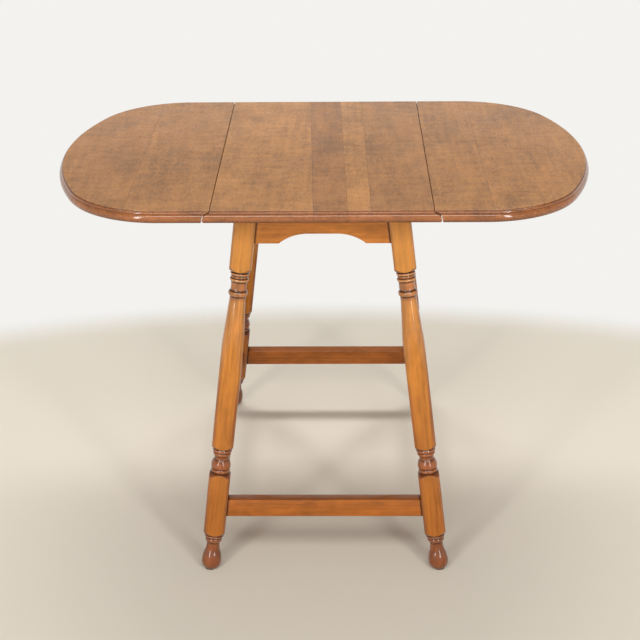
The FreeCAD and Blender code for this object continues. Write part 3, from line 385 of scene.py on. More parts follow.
def board_wood(name, share, shift, sides):
    """Stained, lacquered maple board: soft brown top, redder moulded edge with painted shade at its quirk,
    fillet and lower arris, thin dark glue lines.
    """
    finish = sizes("finish")
    top = sizes("top")
    colour = tuple(part * scale for part, scale in zip(finish.top, share))
    material, tree, shader, wood, spot, value = figured_wood(
        name, colour, GRAIN_ALONG_Y, shift, TOP_FIGURE, TOP_RINGS)
    along = split(tree, spot)
    depth = maths(tree, "SUBTRACT", top.height, along["Z"])
    level = maths(tree, "DIVIDE", depth, top.thickness)
    deep = ramped(tree, value, (0.15, shade(finish.edge, 0.62)), (0.85, shade(finish.edge, 1.30)))
    on_edge = ranged(tree, depth, *EDGE_STAIN)
    wood = mixed(tree, on_edge, wood, deep)
    # Painted shade: dark lines at the quirk, the fillet and the lower arris of the moulded edge.
    edge_shade = ramped(tree, level, *[(place, (strength,) * 3 + (1,)) for place, strength in EDGE_SHADE])
    wood = dark_glaze_and_shade(tree, wood, edge_shade, spot)
    for (front, back), way in zip(sides, (1, -1)):
        skew = (back - front) / (2 * top.half_depth)
        side = maths(tree, "MULTIPLY_ADD", along["Y"], -skew, -(front + back) / 2)
        inside = maths(tree, "ADD", along["X"], side)
        line = ranged(tree, inside, 0.0, way * GLUE_LINE, GLUE_LINE_STRENGTH, 0.0)
        wood = dark_glaze_and_shade(tree, wood, line, spot)
    sealed = ranged(tree, level, *UNDERSIDE, 1.0, 0.0)
    coat = maths(tree, "MULTIPLY", ranged(tree, on_edge, 0, 1, *BOARD_COAT), sealed)
    satin = ranged(tree, on_edge, 0, 1, *BOARD_SATIN)
    lacquered(tree, shader, wood, spot, coat, satin, maths(tree, "MULTIPLY", sealed, FILM))
    return material


# Painted light and shade on the legs, each as two heights in metres and the shares there: painted shade
# darkening toward the floor, painted light paling toward the top, painted highlights on the beads' crests,
# painted shade on the feet.
FLOOR_SHADE = (0.06, 0.56, 0.52, 0.0)
UPPER_LIGHT = (0.42, 0.60, 0.0, 0.35)
CREST_HIGHLIGHT = (0.22, 0.48, 0.12, 0.65)
FOOT_SHADE = (0.05, 0.14, 0.30, 0.0)


def leg_wood():
    """Honey maple, turned and lacquered: streaked flats and deeper stain on turnings, with painted shade in
    grooves, on chamfers, toward the floor and on the feet, painted light toward the top and painted
    highlights on bead crests.
    """
    finish = sizes("finish")
    material, tree, shader, wood, spot, value = figured_wood(
        "Lacquered honey maple", finish.leg, GRAIN_ALONG_Z, (0, 0, 0), LEG_FIGURE, LEG_RINGS, "grain")
    turned = attribute(tree, "turned")
    height = split(tree, position(tree))["Z"]
    deep = ramped(tree, value, (0.24, shade(finish.turning, 0.56)), (0.78, shade(finish.turning, 1.32)))
    # Deeper stain on turnings, and painted shade on the chamfers, which the turned share also carries.
    wood = mixed(tree, turned, wood, deep)
    # Painted shade, darker toward the floor.
    wood = mixed(tree, ranged(tree, height, *FLOOR_SHADE, smooth=True), wood, shade(finish.floor_shade))
    # Painted light, paler toward the top.
    wood = mixed(tree, ranged(tree, height, *UPPER_LIGHT), wood, shade(finish.upper_light))
    # Painted highlight on the beads' crests, stronger higher up.
    pale = maths(tree, "MULTIPLY", attribute(tree, "painted_crest_highlight"), ranged(tree, height, *CREST_HIGHLIGHT))
    wood = mixed(tree, pale, wood, shade(finish.painted_crest_highlight))
    # Painted shade on the turned feet near the floor.
    wood = dark_glaze_and_shade(tree, wood, maths(tree, "MULTIPLY", ranged(tree, height, *FOOT_SHADE), turned), spot)
    # Painted shade in grooves and on steep flanks, laid with the dark glazing colour.
    wood = dark_glaze_and_shade(tree, wood, attribute(tree, "groove"), spot)
    coat = ranged(tree, attribute(tree, "rounded"), 0, 1, *LEG_COAT)
    lacquered(tree, shader, wood, spot, coat, LEG_SATIN)
    return material


# Dark joint glazing and painted shade at a rail's ends, from and to these distances from the leg; and
# darkening on faces that look up, at these slants.
RAIL_END_GLAZE_AND_SHADE = (4 * MM, 1.2 * MM)
UPPER_FACE_DARKENING = (0.55, 0.95, 0.0, 0.16)


def rail_wood(name, colour, turn, shift, slope, reach):
    """Lacquered maple rail: grain along it, dark joint glazing with painted shade where it meets the legs,
    darker on its upper face.
    """
    material, tree, shader, wood, spot, _ = figured_wood(name, colour, turn, shift, RAIL_FIGURE, LEG_RINGS)
    along = split(tree, spot)
    away = maths(tree, "ABSOLUTE", along["X" if turn == GRAIN_ALONG_X else "Y"])
    end = maths(tree, "MULTIPLY_ADD", along["Z"], slope, away)
    start, full = RAIL_END_GLAZE_AND_SHADE
    # Dark joint glazing with painted shade at the rail's ends.
    wood = dark_glaze_and_shade(tree, wood, ranged(tree, end, reach - start, reach - full, smooth=True), spot)
    facing = split(tree, add(tree, "ShaderNodeNewGeometry", {}).outputs["Normal"])["Z"]
    # Darker on faces that look up.
    wood = dark_glaze_and_shade(tree, wood, ranged(tree, facing, *UPPER_FACE_DARKENING), spot)
    lacquered(tree, shader, wood, spot, RAIL_COAT, RAIL_SATIN)
    return material


def bare_wood():
    """Planed secondary wood, left bare: pale, dry, with plain streaks."""
    material, _, shader, wood, *_ = figured_wood(
        "Bare planed wood", sizes("finish").block, GRAIN_ALONG_X, (0.3, 0.1, 0), RAIL_FIGURE, LEG_RINGS)
    feed(shader, {"Base Color": wood, "Roughness": 0.7})
    return material


def aged_metal(name, colour, rough, grit):
    """Plain metal with handled, slightly tarnished patches and fine scratches: sheen without a mirror."""
    material, tree, shader = blank(name)
    spot = position(tree)
    patches = noise(tree, spot, 6, 4.0)
    feed(shader, {
        "Base Color": ramped(tree, patches, (0.30, shade(colour, 0.55)), (0.66, shade(colour, 1.05))),
        "Roughness": ranged(tree, patches, 0.3, 0.7, rough + 0.15, rough - 0.05),
        "Normal": bumped(tree, noise(tree, spot, grit, 2.0), 0.15, 0.05),
        "Metallic": 1.0})
    return material


# Upright share of a normal above which a face counts as level.
LEVEL_FACE = 0.99999
SAW_TOLERANCE = 0.0005 * MM
MERGE_DISTANCE, PLAIN_ANGLE = 0.002 * MM, math.radians(0.5)
BEVEL_ANGLE = math.radians(40)


@contextmanager
def opened(mesh):
    """A mesh opened for work on its points and faces, and written back."""
    bm = bmesh.new()
    bm.from_mesh(mesh)
    yield bm
    bm.to_mesh(mesh)
    bm.free()


def creased(mesh, degrees=34, flat_tops=False):
    """Smooth shading with sharp edges where two faces meet at an angle, or round every level face."""
    with opened(mesh) as bm:
        for face in bm.faces:
            face.smooth = True
        for edge in bm.edges:
            level = flat_tops and any(abs(face.normal.z) > LEVEL_FACE for face in edge.link_faces)
            bent = edge.calc_face_angle(0.0) >= math.radians(degrees)
            edge.smooth = edge.is_manifold and not bent and not level
    return mesh


def mesh_of(name, points, faces):
    """A closed mesh with its faces turned outwards."""
    mesh = bpy.data.meshes.new(name)
    mesh.from_pydata([tuple(point) for point in points], [], faces)
    with opened(mesh) as bm:
        bmesh.ops.recalc_face_normals(bm, faces=bm.faces[:])
    return mesh


def grid(rows, wide, closed):
    """Faces between rows of points, each row closed round or open."""
    return [(i * wide + j, i * wide + (j + 1) % wide, (i + 1) * wide + (j + 1) % wide, (i + 1) * wide + j)
            for i in range(rows - 1) for j in range(wide if closed else wide - 1)]


def prism(name, outline, axis, low, high):
    """An outline pushed along X or Y; its points are (y, z) or (x, z)."""
    points = []
    for reach in (low, high):
        points += [(reach, a, b) if axis == "X" else (a, reach, b) for a, b in outline]
    wide = len(outline)
    ends = [tuple(range(wide)), tuple(range(2 * wide - 1, wide - 1, -1))]
    return mesh_of(name, points, ends + grid(2, wide, closed=True))


def blocks(name, boxes):
    """Plain cutting blocks, each given by its low and high corner."""
    points = []
    faces = []
    for low, high in boxes:
        first = len(points)
        points += product(*zip(low, high))
        faces += [tuple(first + i for i in side) for side in
                  ((0, 1, 3, 2), (4, 6, 7, 5), (0, 4, 5, 1), (2, 3, 7, 6), (0, 2, 6, 4), (1, 5, 7, 3))]
    return mesh_of(name, points, faces)


def evaluated(mesh, *modifiers, inputs=None):
    """The mesh with modifiers applied, each given as (kind, settings); inputs go to the last of them."""
    holder = bpy.data.objects.new("bench", mesh)
    bpy.context.scene.collection.objects.link(holder)
    for kind, settings in modifiers:
        modifier = holder.modifiers.new(kind, kind)
        for name, setting in settings.items():
            setattr(modifier, name, setting)
    for mark, value in (inputs or {}).items():
        modifier[mark] = value
    ready = holder.evaluated_get(bpy.context.evaluated_depsgraph_get())
    made = bpy.data.meshes.new_from_object(ready)
    holder.modifiers.clear()
    bpy.data.objects.remove(holder)
    return made


def carved(mesh, *cuts):
    """The mesh after exact booleans, each given as (operation, cutting mesh)."""
    for operation, tool in cuts:
        cutter = bpy.data.objects.new("cutter", tool)
        bpy.context.scene.collection.objects.link(cutter)
        mesh = evaluated(mesh, ("BOOLEAN", {"operation": operation, "object": cutter, "solver": "EXACT"}))
        bpy.data.objects.remove(cutter)
    return mesh


def trimmed(bm, place, keep):
    """Saw through a mesh at a place, keep the side that a direction points to, and close the cut."""
    bmesh.ops.bisect_plane(bm, geom=bm.verts[:] + bm.edges[:] + bm.faces[:], dist=SAW_TOLERANCE,
                           plane_co=place, plane_no=keep, clear_inner=True)
    bmesh.ops.holes_fill(bm, edges=[edge for edge in bm.edges if edge.is_boundary], sides=0)
    bmesh.ops.recalc_face_normals(bm, faces=bm.faces[:])


def mirrored(mesh, axis):
    """The mesh turned over, left for right or front for back."""
    mesh.transform(Matrix.Scale(-1, 4, axis))
    mesh.flip_normals()
    return mesh


def eased(mesh, width, segments=2):
    """The mesh with its edges rounded, and its flats shaded flat."""
    bevel = {"width": width, "segments": segments, "limit_method": "ANGLE", "angle_limit": BEVEL_ANGLE}
    return creased(evaluated(mesh, ("BEVEL", bevel), ("WEIGHTED_NORMAL", {"keep_sharp": True})), 50)


def put(name, mesh, material, body, slot, *nodes):
    """A finished piece on its body, standing for CAD nodes."""
    mesh.materials.clear()
    mesh.materials.append(material)
    piece = bpy.data.objects.new(name, mesh)
    mesh.name = name
    bpy.context.scene.collection.objects.link(piece)
    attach(piece, body)
    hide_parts(*nodes)
    return piece


def finished(node, mesh, material):
    """A piece that stands for one CAD node."""
    return put(f"{node}_finished", mesh, material, BODY_OF[node], SLOT_OF[node], node)


def dressed(node, width, material):
    """A piece with the shape of its CAD node, as one skin of plain faces with eased edges."""
    mesh = frame["nodes"][node].data.copy()
    with opened(mesh) as bm:
        bmesh.ops.remove_doubles(bm, verts=bm.verts[:], dist=MERGE_DISTANCE)
        bmesh.ops.dissolve_limit(bm, angle_limit=PLAIN_ANGLE, verts=bm.verts[:], edges=bm.edges[:])
    return finished(node, eased(mesh, width), material)


def arc(centre, radius, start, end, count):
    """Points of an arc, angles in degrees."""
    steps = np.radians(np.linspace(start, end, count + 1))
    return [(centre[0] + radius * math.cos(a), centre[1] + radius * math.sin(a)) for a in steps]


def edge_section(top):
    """The moulded edge from the top surface down: outward from the arris, and height from the top."""
    foot = -top.quirk - top.ovolo
    nose_top = foot - top.fillet
    half = (top.thickness + nose_top) / 2
    radius = (half ** 2 + top.nose ** 2) / (2 * top.nose)
    opening = math.degrees(math.asin(half / radius))
    section = arc((-top.ease, -top.ease), top.ease, 90, 0, 4)
    section += arc((0, foot), top.ovolo, 90, 0, 10)
    section += arc((top.ovolo + top.nose - radius, nose_top - half), radius, opening, -opening, 20)
    return section


# Points along the straight, the corners and the end of a leaf's plan.
STRAIGHT_STEPS, CORNER_STEPS, END_STEPS = 8, 64, 128


def leaf_plan(top, out):
    """Plan of a leaf from front seam to back seam, a margin out from its arris."""
    beside = top.half_depth - top.leaf_corner
    rounded = top.leaf_reach - top.leaf_straight
    end = (beside ** 2 + rounded ** 2 - top.leaf_corner ** 2) / (2 * (rounded - top.leaf_corner))
    turn = math.degrees(math.atan2(beside, top.leaf_straight - top.leaf_reach + end))
    side = top.half_depth + out
    straight = [share * top.leaf_straight / STRAIGHT_STEPS for share in range(STRAIGHT_STEPS)]
    plan = [(x, -side) for x in straight]
    plan += arc((top.leaf_straight, -beside), top.leaf_corner + out, -90, -turn, CORNER_STEPS)
    plan += arc((top.leaf_reach - end, 0), end + out, -turn, turn, END_STEPS)[1:-1]
    plan += arc((top.leaf_straight, beside), top.leaf_corner + out, turn, 90, CORNER_STEPS)
    plan += [(x, side) for x in reversed(straight)]
    return plan


# The worn arris beside a hinge seam: out from the seam and up from the surface, in millimetres.
WORN_SEAM = ((0.0, -0.6), (0.16, -0.16), (0.62, 0.02))
WORN_SEAM_END = 0.65


def seam_lip(top, seam, way):
    """Outline of a worn arris beside a seam, going up from it and away to one side."""
    lip = [(seam + way * out * MM, top.height + up * MM) for out, up in WORN_SEAM]
    return lip + [(seam + way * WORN_SEAM_END * MM, top.height + top.thickness)]


def hinge_rooms(top, fittings, start, end, ceiling):
    """Room for a front and a back hinge between two places across the table, up to a ceiling."""
    half = fittings.hinge_width / 2 + fittings.play
    low, high = sorted((start, end))
    return [((low, place - half, top.height - 2 * top.thickness), (high, place + half, ceiling))
            for place in (-fittings.hinge_place, fittings.hinge_place)]


def leaf_panel(top, fittings):
    """The whole right leaf: plan, moulding, the cove of its rule joint and the beds of its hinge flaps."""
    rows = [[(top.seam + x, y, top.height + z) for x, y in leaf_plan(top, out)]
            for out, z in edge_section(top)]
    wide = len(rows[0])
    points = [point for row in rows for point in row]
    firsts = range(0, len(points), wide)
    faces = grid(len(rows), wide, closed=False)
    faces.append(tuple(range(wide)))
    faces.append(tuple(reversed(range(len(points) - wide, len(points)))))
    faces.append(tuple(firsts) + tuple(first + wide - 1 for first in reversed(firsts)))
    under = top.height - top.thickness
    pin = (top.seam, under + top.pin_rise)
    cove = top.rule_round + top.rule_gap
    start = math.degrees(math.acos(top.seam_gap / cove))
    outside, deep = cad_high.x + top.thickness, cad_high.y + top.thickness
    keep = [(pin[0] + cove, 0), (outside, 0), (outside, top.height + top.thickness)]
    keep += seam_lip(top, top.seam + top.seam_gap, 1)[::-1] + arc(pin, cove, start, 0, 20)
    beds = hinge_rooms(top, fittings, top.seam, top.seam + fittings.hinge_long + fittings.play,
                       under + fittings.hinge_plate + fittings.play)
    return carved(mesh_of("leaf_blank", points, faces), ("INTERSECT", prism("cove", keep, "Y", -deep, deep)),
                  ("DIFFERENCE", blocks("leaf_beds", beds)))


def centre_panel(top, fittings):
    """The whole fixed centre: moulded front and back, rule joint rounds at its sides, hinge beds below."""
    section = [(top.half_depth + out, top.height + z) for out, z in edge_section(top)]
    section += [(-y, z) for y, z in reversed(section)]
    under = top.height - top.thickness
    pin = (top.seam, under + top.pin_rise)
    wide, deep = top.seam + 2 * top.rule_round, cad_high.y + top.thickness
    below = pin[0] + top.rule_round - top.rule_gap
    right = [(below, 0), (below, under)] + arc(pin, top.rule_round, 0, 90, 20) + seam_lip(top, top.seam, -1)
    keep = right + [(-x, z) for x, z in reversed(right)]
    inner = top.seam - fittings.hinge_short - fittings.play
    ceiling = under + fittings.hinge_plate + fittings.play
    gutter = fittings.knuckle + 2 * fittings.play
    beds, barrels = [], []
    for way in (-1, 1):
        seam = way * top.seam
        beds += hinge_rooms(top, fittings, way * inner, way * wide, ceiling)
        barrels += hinge_rooms(top, fittings, seam - gutter, seam + gutter, pin[1] + gutter)
    return carved(prism("centre_blank", section, "X", -wide, wide),
                  ("INTERSECT", prism("rounds", keep, "Y", -deep, deep)),
                  ("DIFFERENCE", blocks("centre_beds", beds)),
                  ("DIFFERENCE", blocks("barrel_rooms", barrels)))


def sawn(panel, sides, half_depth):
    """The stretch of a panel between two sides, each given across the table at its front and its back."""
    board = panel.copy()
    with opened(board) as bm:
        for (front, back), way in zip(sides, (1, -1)):
            square = Vector((way * 2 * half_depth, way * (front - back), 0)).normalized()
            trimmed(bm, (front, -half_depth, 0), square)
    return creased(board, flat_tops=True)


# Glue lines of the three panels across the table, in millimetres: place at the front and at the back.
LEFT_LINE, RIGHT_LINE = (-310.5, -310.5), (268.5, 268.5)
LINE_1, LINE_2, LINE_3 = (-13.3, -28.3), (40.1, 28.6), (77.1, 69.1)
# Boards: node, panel, sides (none where a board runs to the panel's edge), tone as shares of the top's, and
# where the heart of the tree lay, across and below the surface in millimetres.
BOARDS = (
    ("left_leaf_outer_board", "left", None, LEFT_LINE, (0.98, 0.96, 0.94), (-330, 70)),
    ("left_leaf_inner_board", "left", LEFT_LINE, None, (1.01, 1.00, 0.98), (-160, 150)),
    ("centre_board_1", "centre", None, LINE_1, (1.10, 1.10, 1.08), (-130, 170)),
    ("centre_board_2", "centre", LINE_1, LINE_2, (0.93, 0.89, 0.88), (60, 120)),
    ("centre_board_3", "centre", LINE_2, LINE_3, (1.14, 1.14, 1.08), (20, 140)),
    ("centre_board_4", "centre", LINE_3, None, (0.95, 0.94, 0.94), (150, 60)),
    ("right_leaf_inner_board", "right", None, RIGHT_LINE, (0.99, 0.98, 0.97), (330, 160)),
    ("right_leaf_outer_board", "right", RIGHT_LINE, None, (1.01, 1.00, 0.98), (340, 90)),
)
# Each board comes from its own stretch of the trunk, this far along in metres.
BOARD_STEP = 0.71


class PEMBROKE_OT_boards(bpy.types.Operator):
    """Make the eight boards of the top, moulded, jointed and sawn from three panels"""
    bl_idname = "pembroke.boards"
    bl_label = "Top boards"

    def execute(self, context):
        top, fittings = sizes("top"), sizes("fittings")
        right = leaf_panel(top, fittings)
        panels = {"left": mirrored(right.copy(), (1, 0, 0)), "right": right,
                  "centre": centre_panel(top, fittings)}
        outside = 2 * cad_high.x
        for number, (node, panel, low, high, share, (across, below)) in enumerate(BOARDS):
            low = tuple(place * MM for place in low) if low else (-outside, -outside)
            high = tuple(place * MM for place in high) if high else (outside, outside)
            shift = (-across * MM, top.height + below * MM, BOARD_STEP * number)
            wood = board_wood(f"Lacquered brown maple {number + 1}", share, shift, (low, high))
            finished(node, sawn(panels[panel], (low, high), top.half_depth), wood)
        return {"FINISHED"}


# Turnings from the floor up: radius as a share of the leg's square, height as a share of its stretch, and the
# radius of the arc to the next point as a share of the square, above zero to swell and below to hollow.
FOOT = ((0.275, 0.000, 0.472), (0.465, 0.226, 1.47), (0.372, 0.497, -0.90), (0.322, 0.645, -0.605),
        (0.330, 0.767, 0), (0.335, 0.777, 0.150), (0.365, 0.895, 0), (0.368, 0.905, 0),
        (0.406, 0.917, 0.0765), (0.414, 0.992, 0))
BALL = ((0.420, 0.010, 0.125), (0.415, 0.150, 0), (0.400, 0.165, 0.150), (0.463, 0.270, 0.600),
        (0.350, 0.551, 0), (0.342, 0.591, -0.278), (0.389, 0.712, 0), (0.394, 0.719, 0.131),
        (0.411, 0.829, 0), (0.392, 0.840, 0), (0.420, 0.852, 0.118), (0.425, 0.989, 0))
COLLAR = ((0.361, 0.073, 0), (0.389, 0.086, 0.154), (0.389, 0.278, 0), (0.369, 0.291, -1.38),
          (0.378, 0.631, 0), (0.395, 0.647, 0.081), (0.395, 0.759, 0), (0.378, 0.770, 0.120),
          (0.378, 0.861, 0), (0.395, 0.872, 0.074), (0.395, 0.978, 0))
# Shoulder of a block: radius at its foot and end, rise and arc, as shares of the square.
SHOULDER_FOOT, SHOULDER_END, SHOULDER_RISE, SHOULDER_ARC = 0.42, 0.63, 0.32, 0.36
BLOCK_CLEAR, TAPER_END = 0.72, 0.36
# Rows of the skin stand this far apart on turnings, and on straight runs longer than ten such steps.
TURNED_STEP, TAPER_STEP = 0.6 * MM, 5 * MM


def leg_profile(legs):
    """Radius and height along the leg of every row of the turned skin, from the floor up."""
    square = legs.square

    def stretch(shares, low, high):
        return [(square * r, low + (high - low) * h, square * bend) for r, h, bend in shares]

    def shoulder(level, way):
        foot = (square * SHOULDER_FOOT, level)
        end = (square * SHOULDER_END, level + way * SHOULDER_RISE * square)
        bend = square * SHOULDER_ARC
        return [foot + (bend,), end + (0,)] if way > 0 else [end + (bend,), foot + (0,)]

    path = stretch(FOOT, 0, legs.lower_block_bottom) + shoulder(legs.lower_block_bottom, 1)
    path += shoulder(legs.lower_block_top, -1) + stretch(BALL, legs.lower_block_top, legs.shaft_bottom)
    path += shoulder(legs.shaft_bottom, 1)
    path += [(square * BLOCK_CLEAR, legs.taper_bottom, 0), (square * TAPER_END, legs.taper_top, 0)]
    path += stretch(COLLAR, legs.taper_top, legs.upper_block_bottom)
    path += shoulder(legs.upper_block_bottom, 1) + [(square * BLOCK_CLEAR, cad_high.z, 0)]
    rows = []
    for (r0, s0, bend), (r1, s1, _) in zip(path, path[1:]):
        out, up = r1 - r0, s1 - s0
        run = math.hypot(out, up)
        if bend:
            height = math.copysign(math.sqrt(bend ** 2 - (run / 2) ** 2), -bend)
            centre = ((r0 + r1) / 2 + height * up / run, (s0 + s1) / 2 - height * out / run)
            first = math.atan2(s0 - centre[1], r0 - centre[0])
            sweep = (math.atan2(s1 - centre[1], r1 - centre[0]) - first + math.pi) % math.tau - math.pi
            count = max(3, math.ceil(abs(sweep * bend) / TURNED_STEP))
            rows += arc(centre, abs(bend), math.degrees(first), math.degrees(first + sweep), count)[:-1]
        else:
            count = max(1, math.ceil(run / (TAPER_STEP if run > 10 * TURNED_STEP else TURNED_STEP)))
            rows += [(r0 + out * i / count, s0 + up * i / count) for i in range(count)]
    rows.append(path[-1][:2])
    return np.array(rows)


def soft_least(a, b, soft):
    """The lesser of two radii, eased where they cross."""
    near = np.maximum(soft - np.abs(a - b), 0) / soft
    return np.minimum(a, b) - near * near * soft / 4


# Directions beside an arris of a chamfer, and how far the even ones between stay from it, in degrees.
NEAR_ARRIS, ARRIS_CLEAR, FLAT_COUNT = np.array((-5.0, -3.3, -1.7, 0, 1.7, 3.3, 5.0)), 8, 9


def leg_angles(legs):
    """Directions round a leg, closer together at the blocks' chamfers."""
    half = legs.square / 2
    edge = math.degrees(math.atan2(half - legs.chamfer, half))
    flat = np.linspace(-edge + ARRIS_CLEAR, edge - ARRIS_CLEAR, FLAT_COUNT)
    quarter = np.concatenate([flat, edge + NEAR_ARRIS, (45,), 90 - edge + NEAR_ARRIS])
    return np.radians(np.concatenate([quarter + 90 * turn for turn in range(4)]))


# Share of the foot turning that is drawn out or in to lie flat on the floor, and rounds to find the floor.
FOOT_SHARE, FLOOR_ROUNDS = 0.2, 8
TINY = 1e-6
# Ranges over which stain, gloss, painted shade and painted highlights come in, each a start and a width.
TURNED_IN, BEVEL_IN, SQUARE_IN = (0, 1.2 * MM), (-0.4 * MM, 0.8 * MM), (0, 1.0 * MM)
GROOVE_IN, CREST_IN = (0.4 * MM, 1.3 * MM), (0.7 * MM, 1.2 * MM)
END_GRAIN_IN, CREST_OUT = (0.3, 0.9), (0, 0.9)
# How far along the leg a groove or a bead is measured against its neighbours.
NEIGHBOURS = 2.6 * MM
# Painted shade on the chamfers, stronger lower down: heights along the leg in metres and the shares there.
# Then their gloss.
CHAMFER_HEIGHTS, CHAMFER_SHADE, CHAMFER_GLOSS = (0.25, 0.55), (0.70, 0.12), 0.8
# End grain, where a turning runs steeply in or out, took more stain; the same darkening is painted shade on
# the beads' steep flanks.
END_GRAIN_STAIN_AND_SHADE = 0.70


def share_of(value, start, width):
    """From nought to one as a value rises through a range."""
    return np.clip((value - start) / width, 0, 1)


def leg_stains(legs, rows, heights, radii, flats, bevels):
    """Shares of stain, gloss, painted shade and painted highlight at every point of a leg's skin."""
    profile, levels = rows.T
    half = legs.square / 2
    block = soft_least(flats, bevels, legs.worn)
    shaft = (heights > legs.shaft_bottom + SHOULDER_RISE * legs.square) & (heights < legs.taper_top)
    rounded = share_of(block - radii, *TURNED_IN)
    bevel = share_of(flats - bevels, *BEVEL_IN)
    # Painted shade on the chamfers, stronger lower down; the turned share carries it.
    handled = np.interp(heights, CHAMFER_HEIGHTS, CHAMFER_SHADE)
    turned = np.maximum(np.where(shaft, 0, rounded), handled * bevel * share_of(radii - block, *SQUARE_IN))
    reach = np.minimum(profile, half)
    around = np.abs(levels[:, None] - levels) < NEIGHBOURS
    hollow = np.where(around, reach, 0).max(axis=1) - reach
    proud = reach - np.where(around, reach, half).min(axis=1)
    steep = np.abs(np.gradient(profile) / np.maximum(np.gradient(levels), TINY))
    end_grain_and_flank_shade = END_GRAIN_STAIN_AND_SHADE * share_of(steep, *END_GRAIN_IN)
    # Painted shade in grooves, and the end grain stain with painted shade on steep flanks.
    groove = np.maximum(share_of(hollow, *GROOVE_IN)[:, None], end_grain_and_flank_shade[:, None] * rounded)
    # Painted highlight on the crests of beads.
    painted_crest_highlight = share_of(proud, *CREST_IN) * (1 - share_of(steep, *CREST_OUT))
    return {"turned": turned.ravel(), "rounded": np.maximum(rounded, CHAMFER_GLOSS * bevel).ravel(),
            "groove": groove.ravel(), "painted_crest_highlight": np.repeat(painted_crest_highlight, len(flats))}


def leg_skin(legs, top):
    """Points, faces, grain and stains of the front left leg, standing between the floor and the top."""
    rows = leg_profile(legs)
    profile, levels = rows.T
    angles = leg_angles(legs)
    c, s = np.cos(angles), np.sin(angles)
    half = legs.square / 2
    flats = soft_least(half / np.maximum(np.abs(c), TINY), half / np.maximum(np.abs(s), TINY), legs.worn)
    bevels = (legs.square - legs.chamfer) / (np.abs(c) + np.abs(s))
    block = soft_least(flats, bevels, legs.worn)
    slope = (legs.splay_x / cad_high.z, legs.splay_y / cad_high.z)
    turn = np.array(Matrix.Rotation(math.atan(math.hypot(*slope)), 3, Vector((-slope[1], slope[0], 0))))
    rise = turn[2, 0] * c + turn[2, 1] * s
    floor_end = np.zeros_like(angles)
    for _ in range(FLOOR_ROUNDS):
        floor_end = -np.interp(floor_end, levels, profile) * rise / turn[2, 2]
    top_end = (top.height - top.thickness - block * rise) / turn[2, 2]
    heights = np.repeat(levels[:, None], len(angles), axis=1)
    foot = FOOT_SHARE * legs.lower_block_bottom
    heights = np.where(heights < foot, floor_end + heights * (foot - floor_end) / foot, heights)
    fixed = legs.upper_block_bottom + legs.square
    drawn = fixed + (heights - fixed) * (top_end - fixed) / (levels[-1] - fixed)
    heights = np.where(heights > fixed, drawn, heights)
    radii = np.where(heights < foot, np.interp(heights, levels, profile), profile[:, None])
    skin = soft_least(block, radii, legs.soft)
    local = np.stack([skin * c, skin * s, heights], axis=-1).reshape(-1, 3)
    points = local @ turn.T - np.array((legs.foot_x, legs.foot_y, 0))
    wide = len(angles)
    faces = grid(len(rows), wide, closed=True)
    faces += [tuple(reversed(range(wide))), tuple(range(len(points) - wide, len(points)))]
    return points, faces, local, leg_stains(legs, rows, heights, radii, flats, bevels)


class PEMBROKE_OT_legs(bpy.types.Operator):
    """Turn the four splayed legs, with chamfered blocks, tapered shafts, balls and beads"""
    bl_idname = "pembroke.legs"
    bl_label = "Turned legs"

    def execute(self, context):
        points, faces, grain, stains = leg_skin(sizes("legs"), sizes("top"))
        wood = leg_wood()
        for end, side, sign, way in CORNERS:
            node = f"leg_{end}_{side}"
            mesh = mesh_of(node, points * np.array((-way, -sign, 1)), faces)
            # Each leg has its own piece of wood.
            own = (grain + np.array((0.21 * way, 0.13 * sign, 0.9 * way + 0.45 * sign))).ravel()
            mesh.attributes.new("grain", "FLOAT_VECTOR", "POINT").data.foreach_set("vector", own)
            for stain, values in stains.items():
                mesh.attributes.new(stain, "FLOAT", "POINT").data.foreach_set("value", values)
            finished(node, creased(mesh, 60), wood)
        return {"FINISHED"}


# A rail's visible mesh ends this far short of the leg's middle, inside the leg.
RAIL_SHORT = 6 * MM


def rail_mesh(name, outline, near, far, across_front, foot, lean):
    """A rail from its outline in the leaning plane of a pair of legs, trimmed under the top, edges eased."""
    top = sizes("top")
    mesh = prism(name, outline, "Y" if across_front else "X", near, far)
    stand = (0, -foot, 0) if across_front else (foot, 0, 0)
    mesh.transform(Matrix.Translation(stand) @ Matrix.Rotation(-lean, 4, "X" if across_front else "Y"))
    with opened(mesh) as bm:
        trimmed(bm, (0, 0, top.height - top.thickness), (0, 0, -1))
    return eased(mesh, sizes("rails").eased, 3)


def apron_outline(rails, reach, lean, arched):
    """Front view of an apron in its leaning plane, with the arch in its lower edge."""
    top = sizes("top")
    low = (top.height - top.thickness - rails.apron_height) / math.cos(lean)
    outline = [(-reach, top.height), (-reach, low)]
    if arched:
        flat = rails.arch_flat / 2
        run = rails.arch_span / 2 - flat
        radius = (run ** 2 + rails.arch_rise ** 2) / (2 * rails.arch_rise)
        sweep = math.degrees(math.asin(run / radius))
        centre = low + rails.arch_rise - radius
        outline += arc((-flat, centre), radius, 90 + sweep, 90, 18)
        outline += arc((flat, centre), radius, 90, 90 - sweep, 18)
    return outline + [(reach, low), (reach, top.height)]


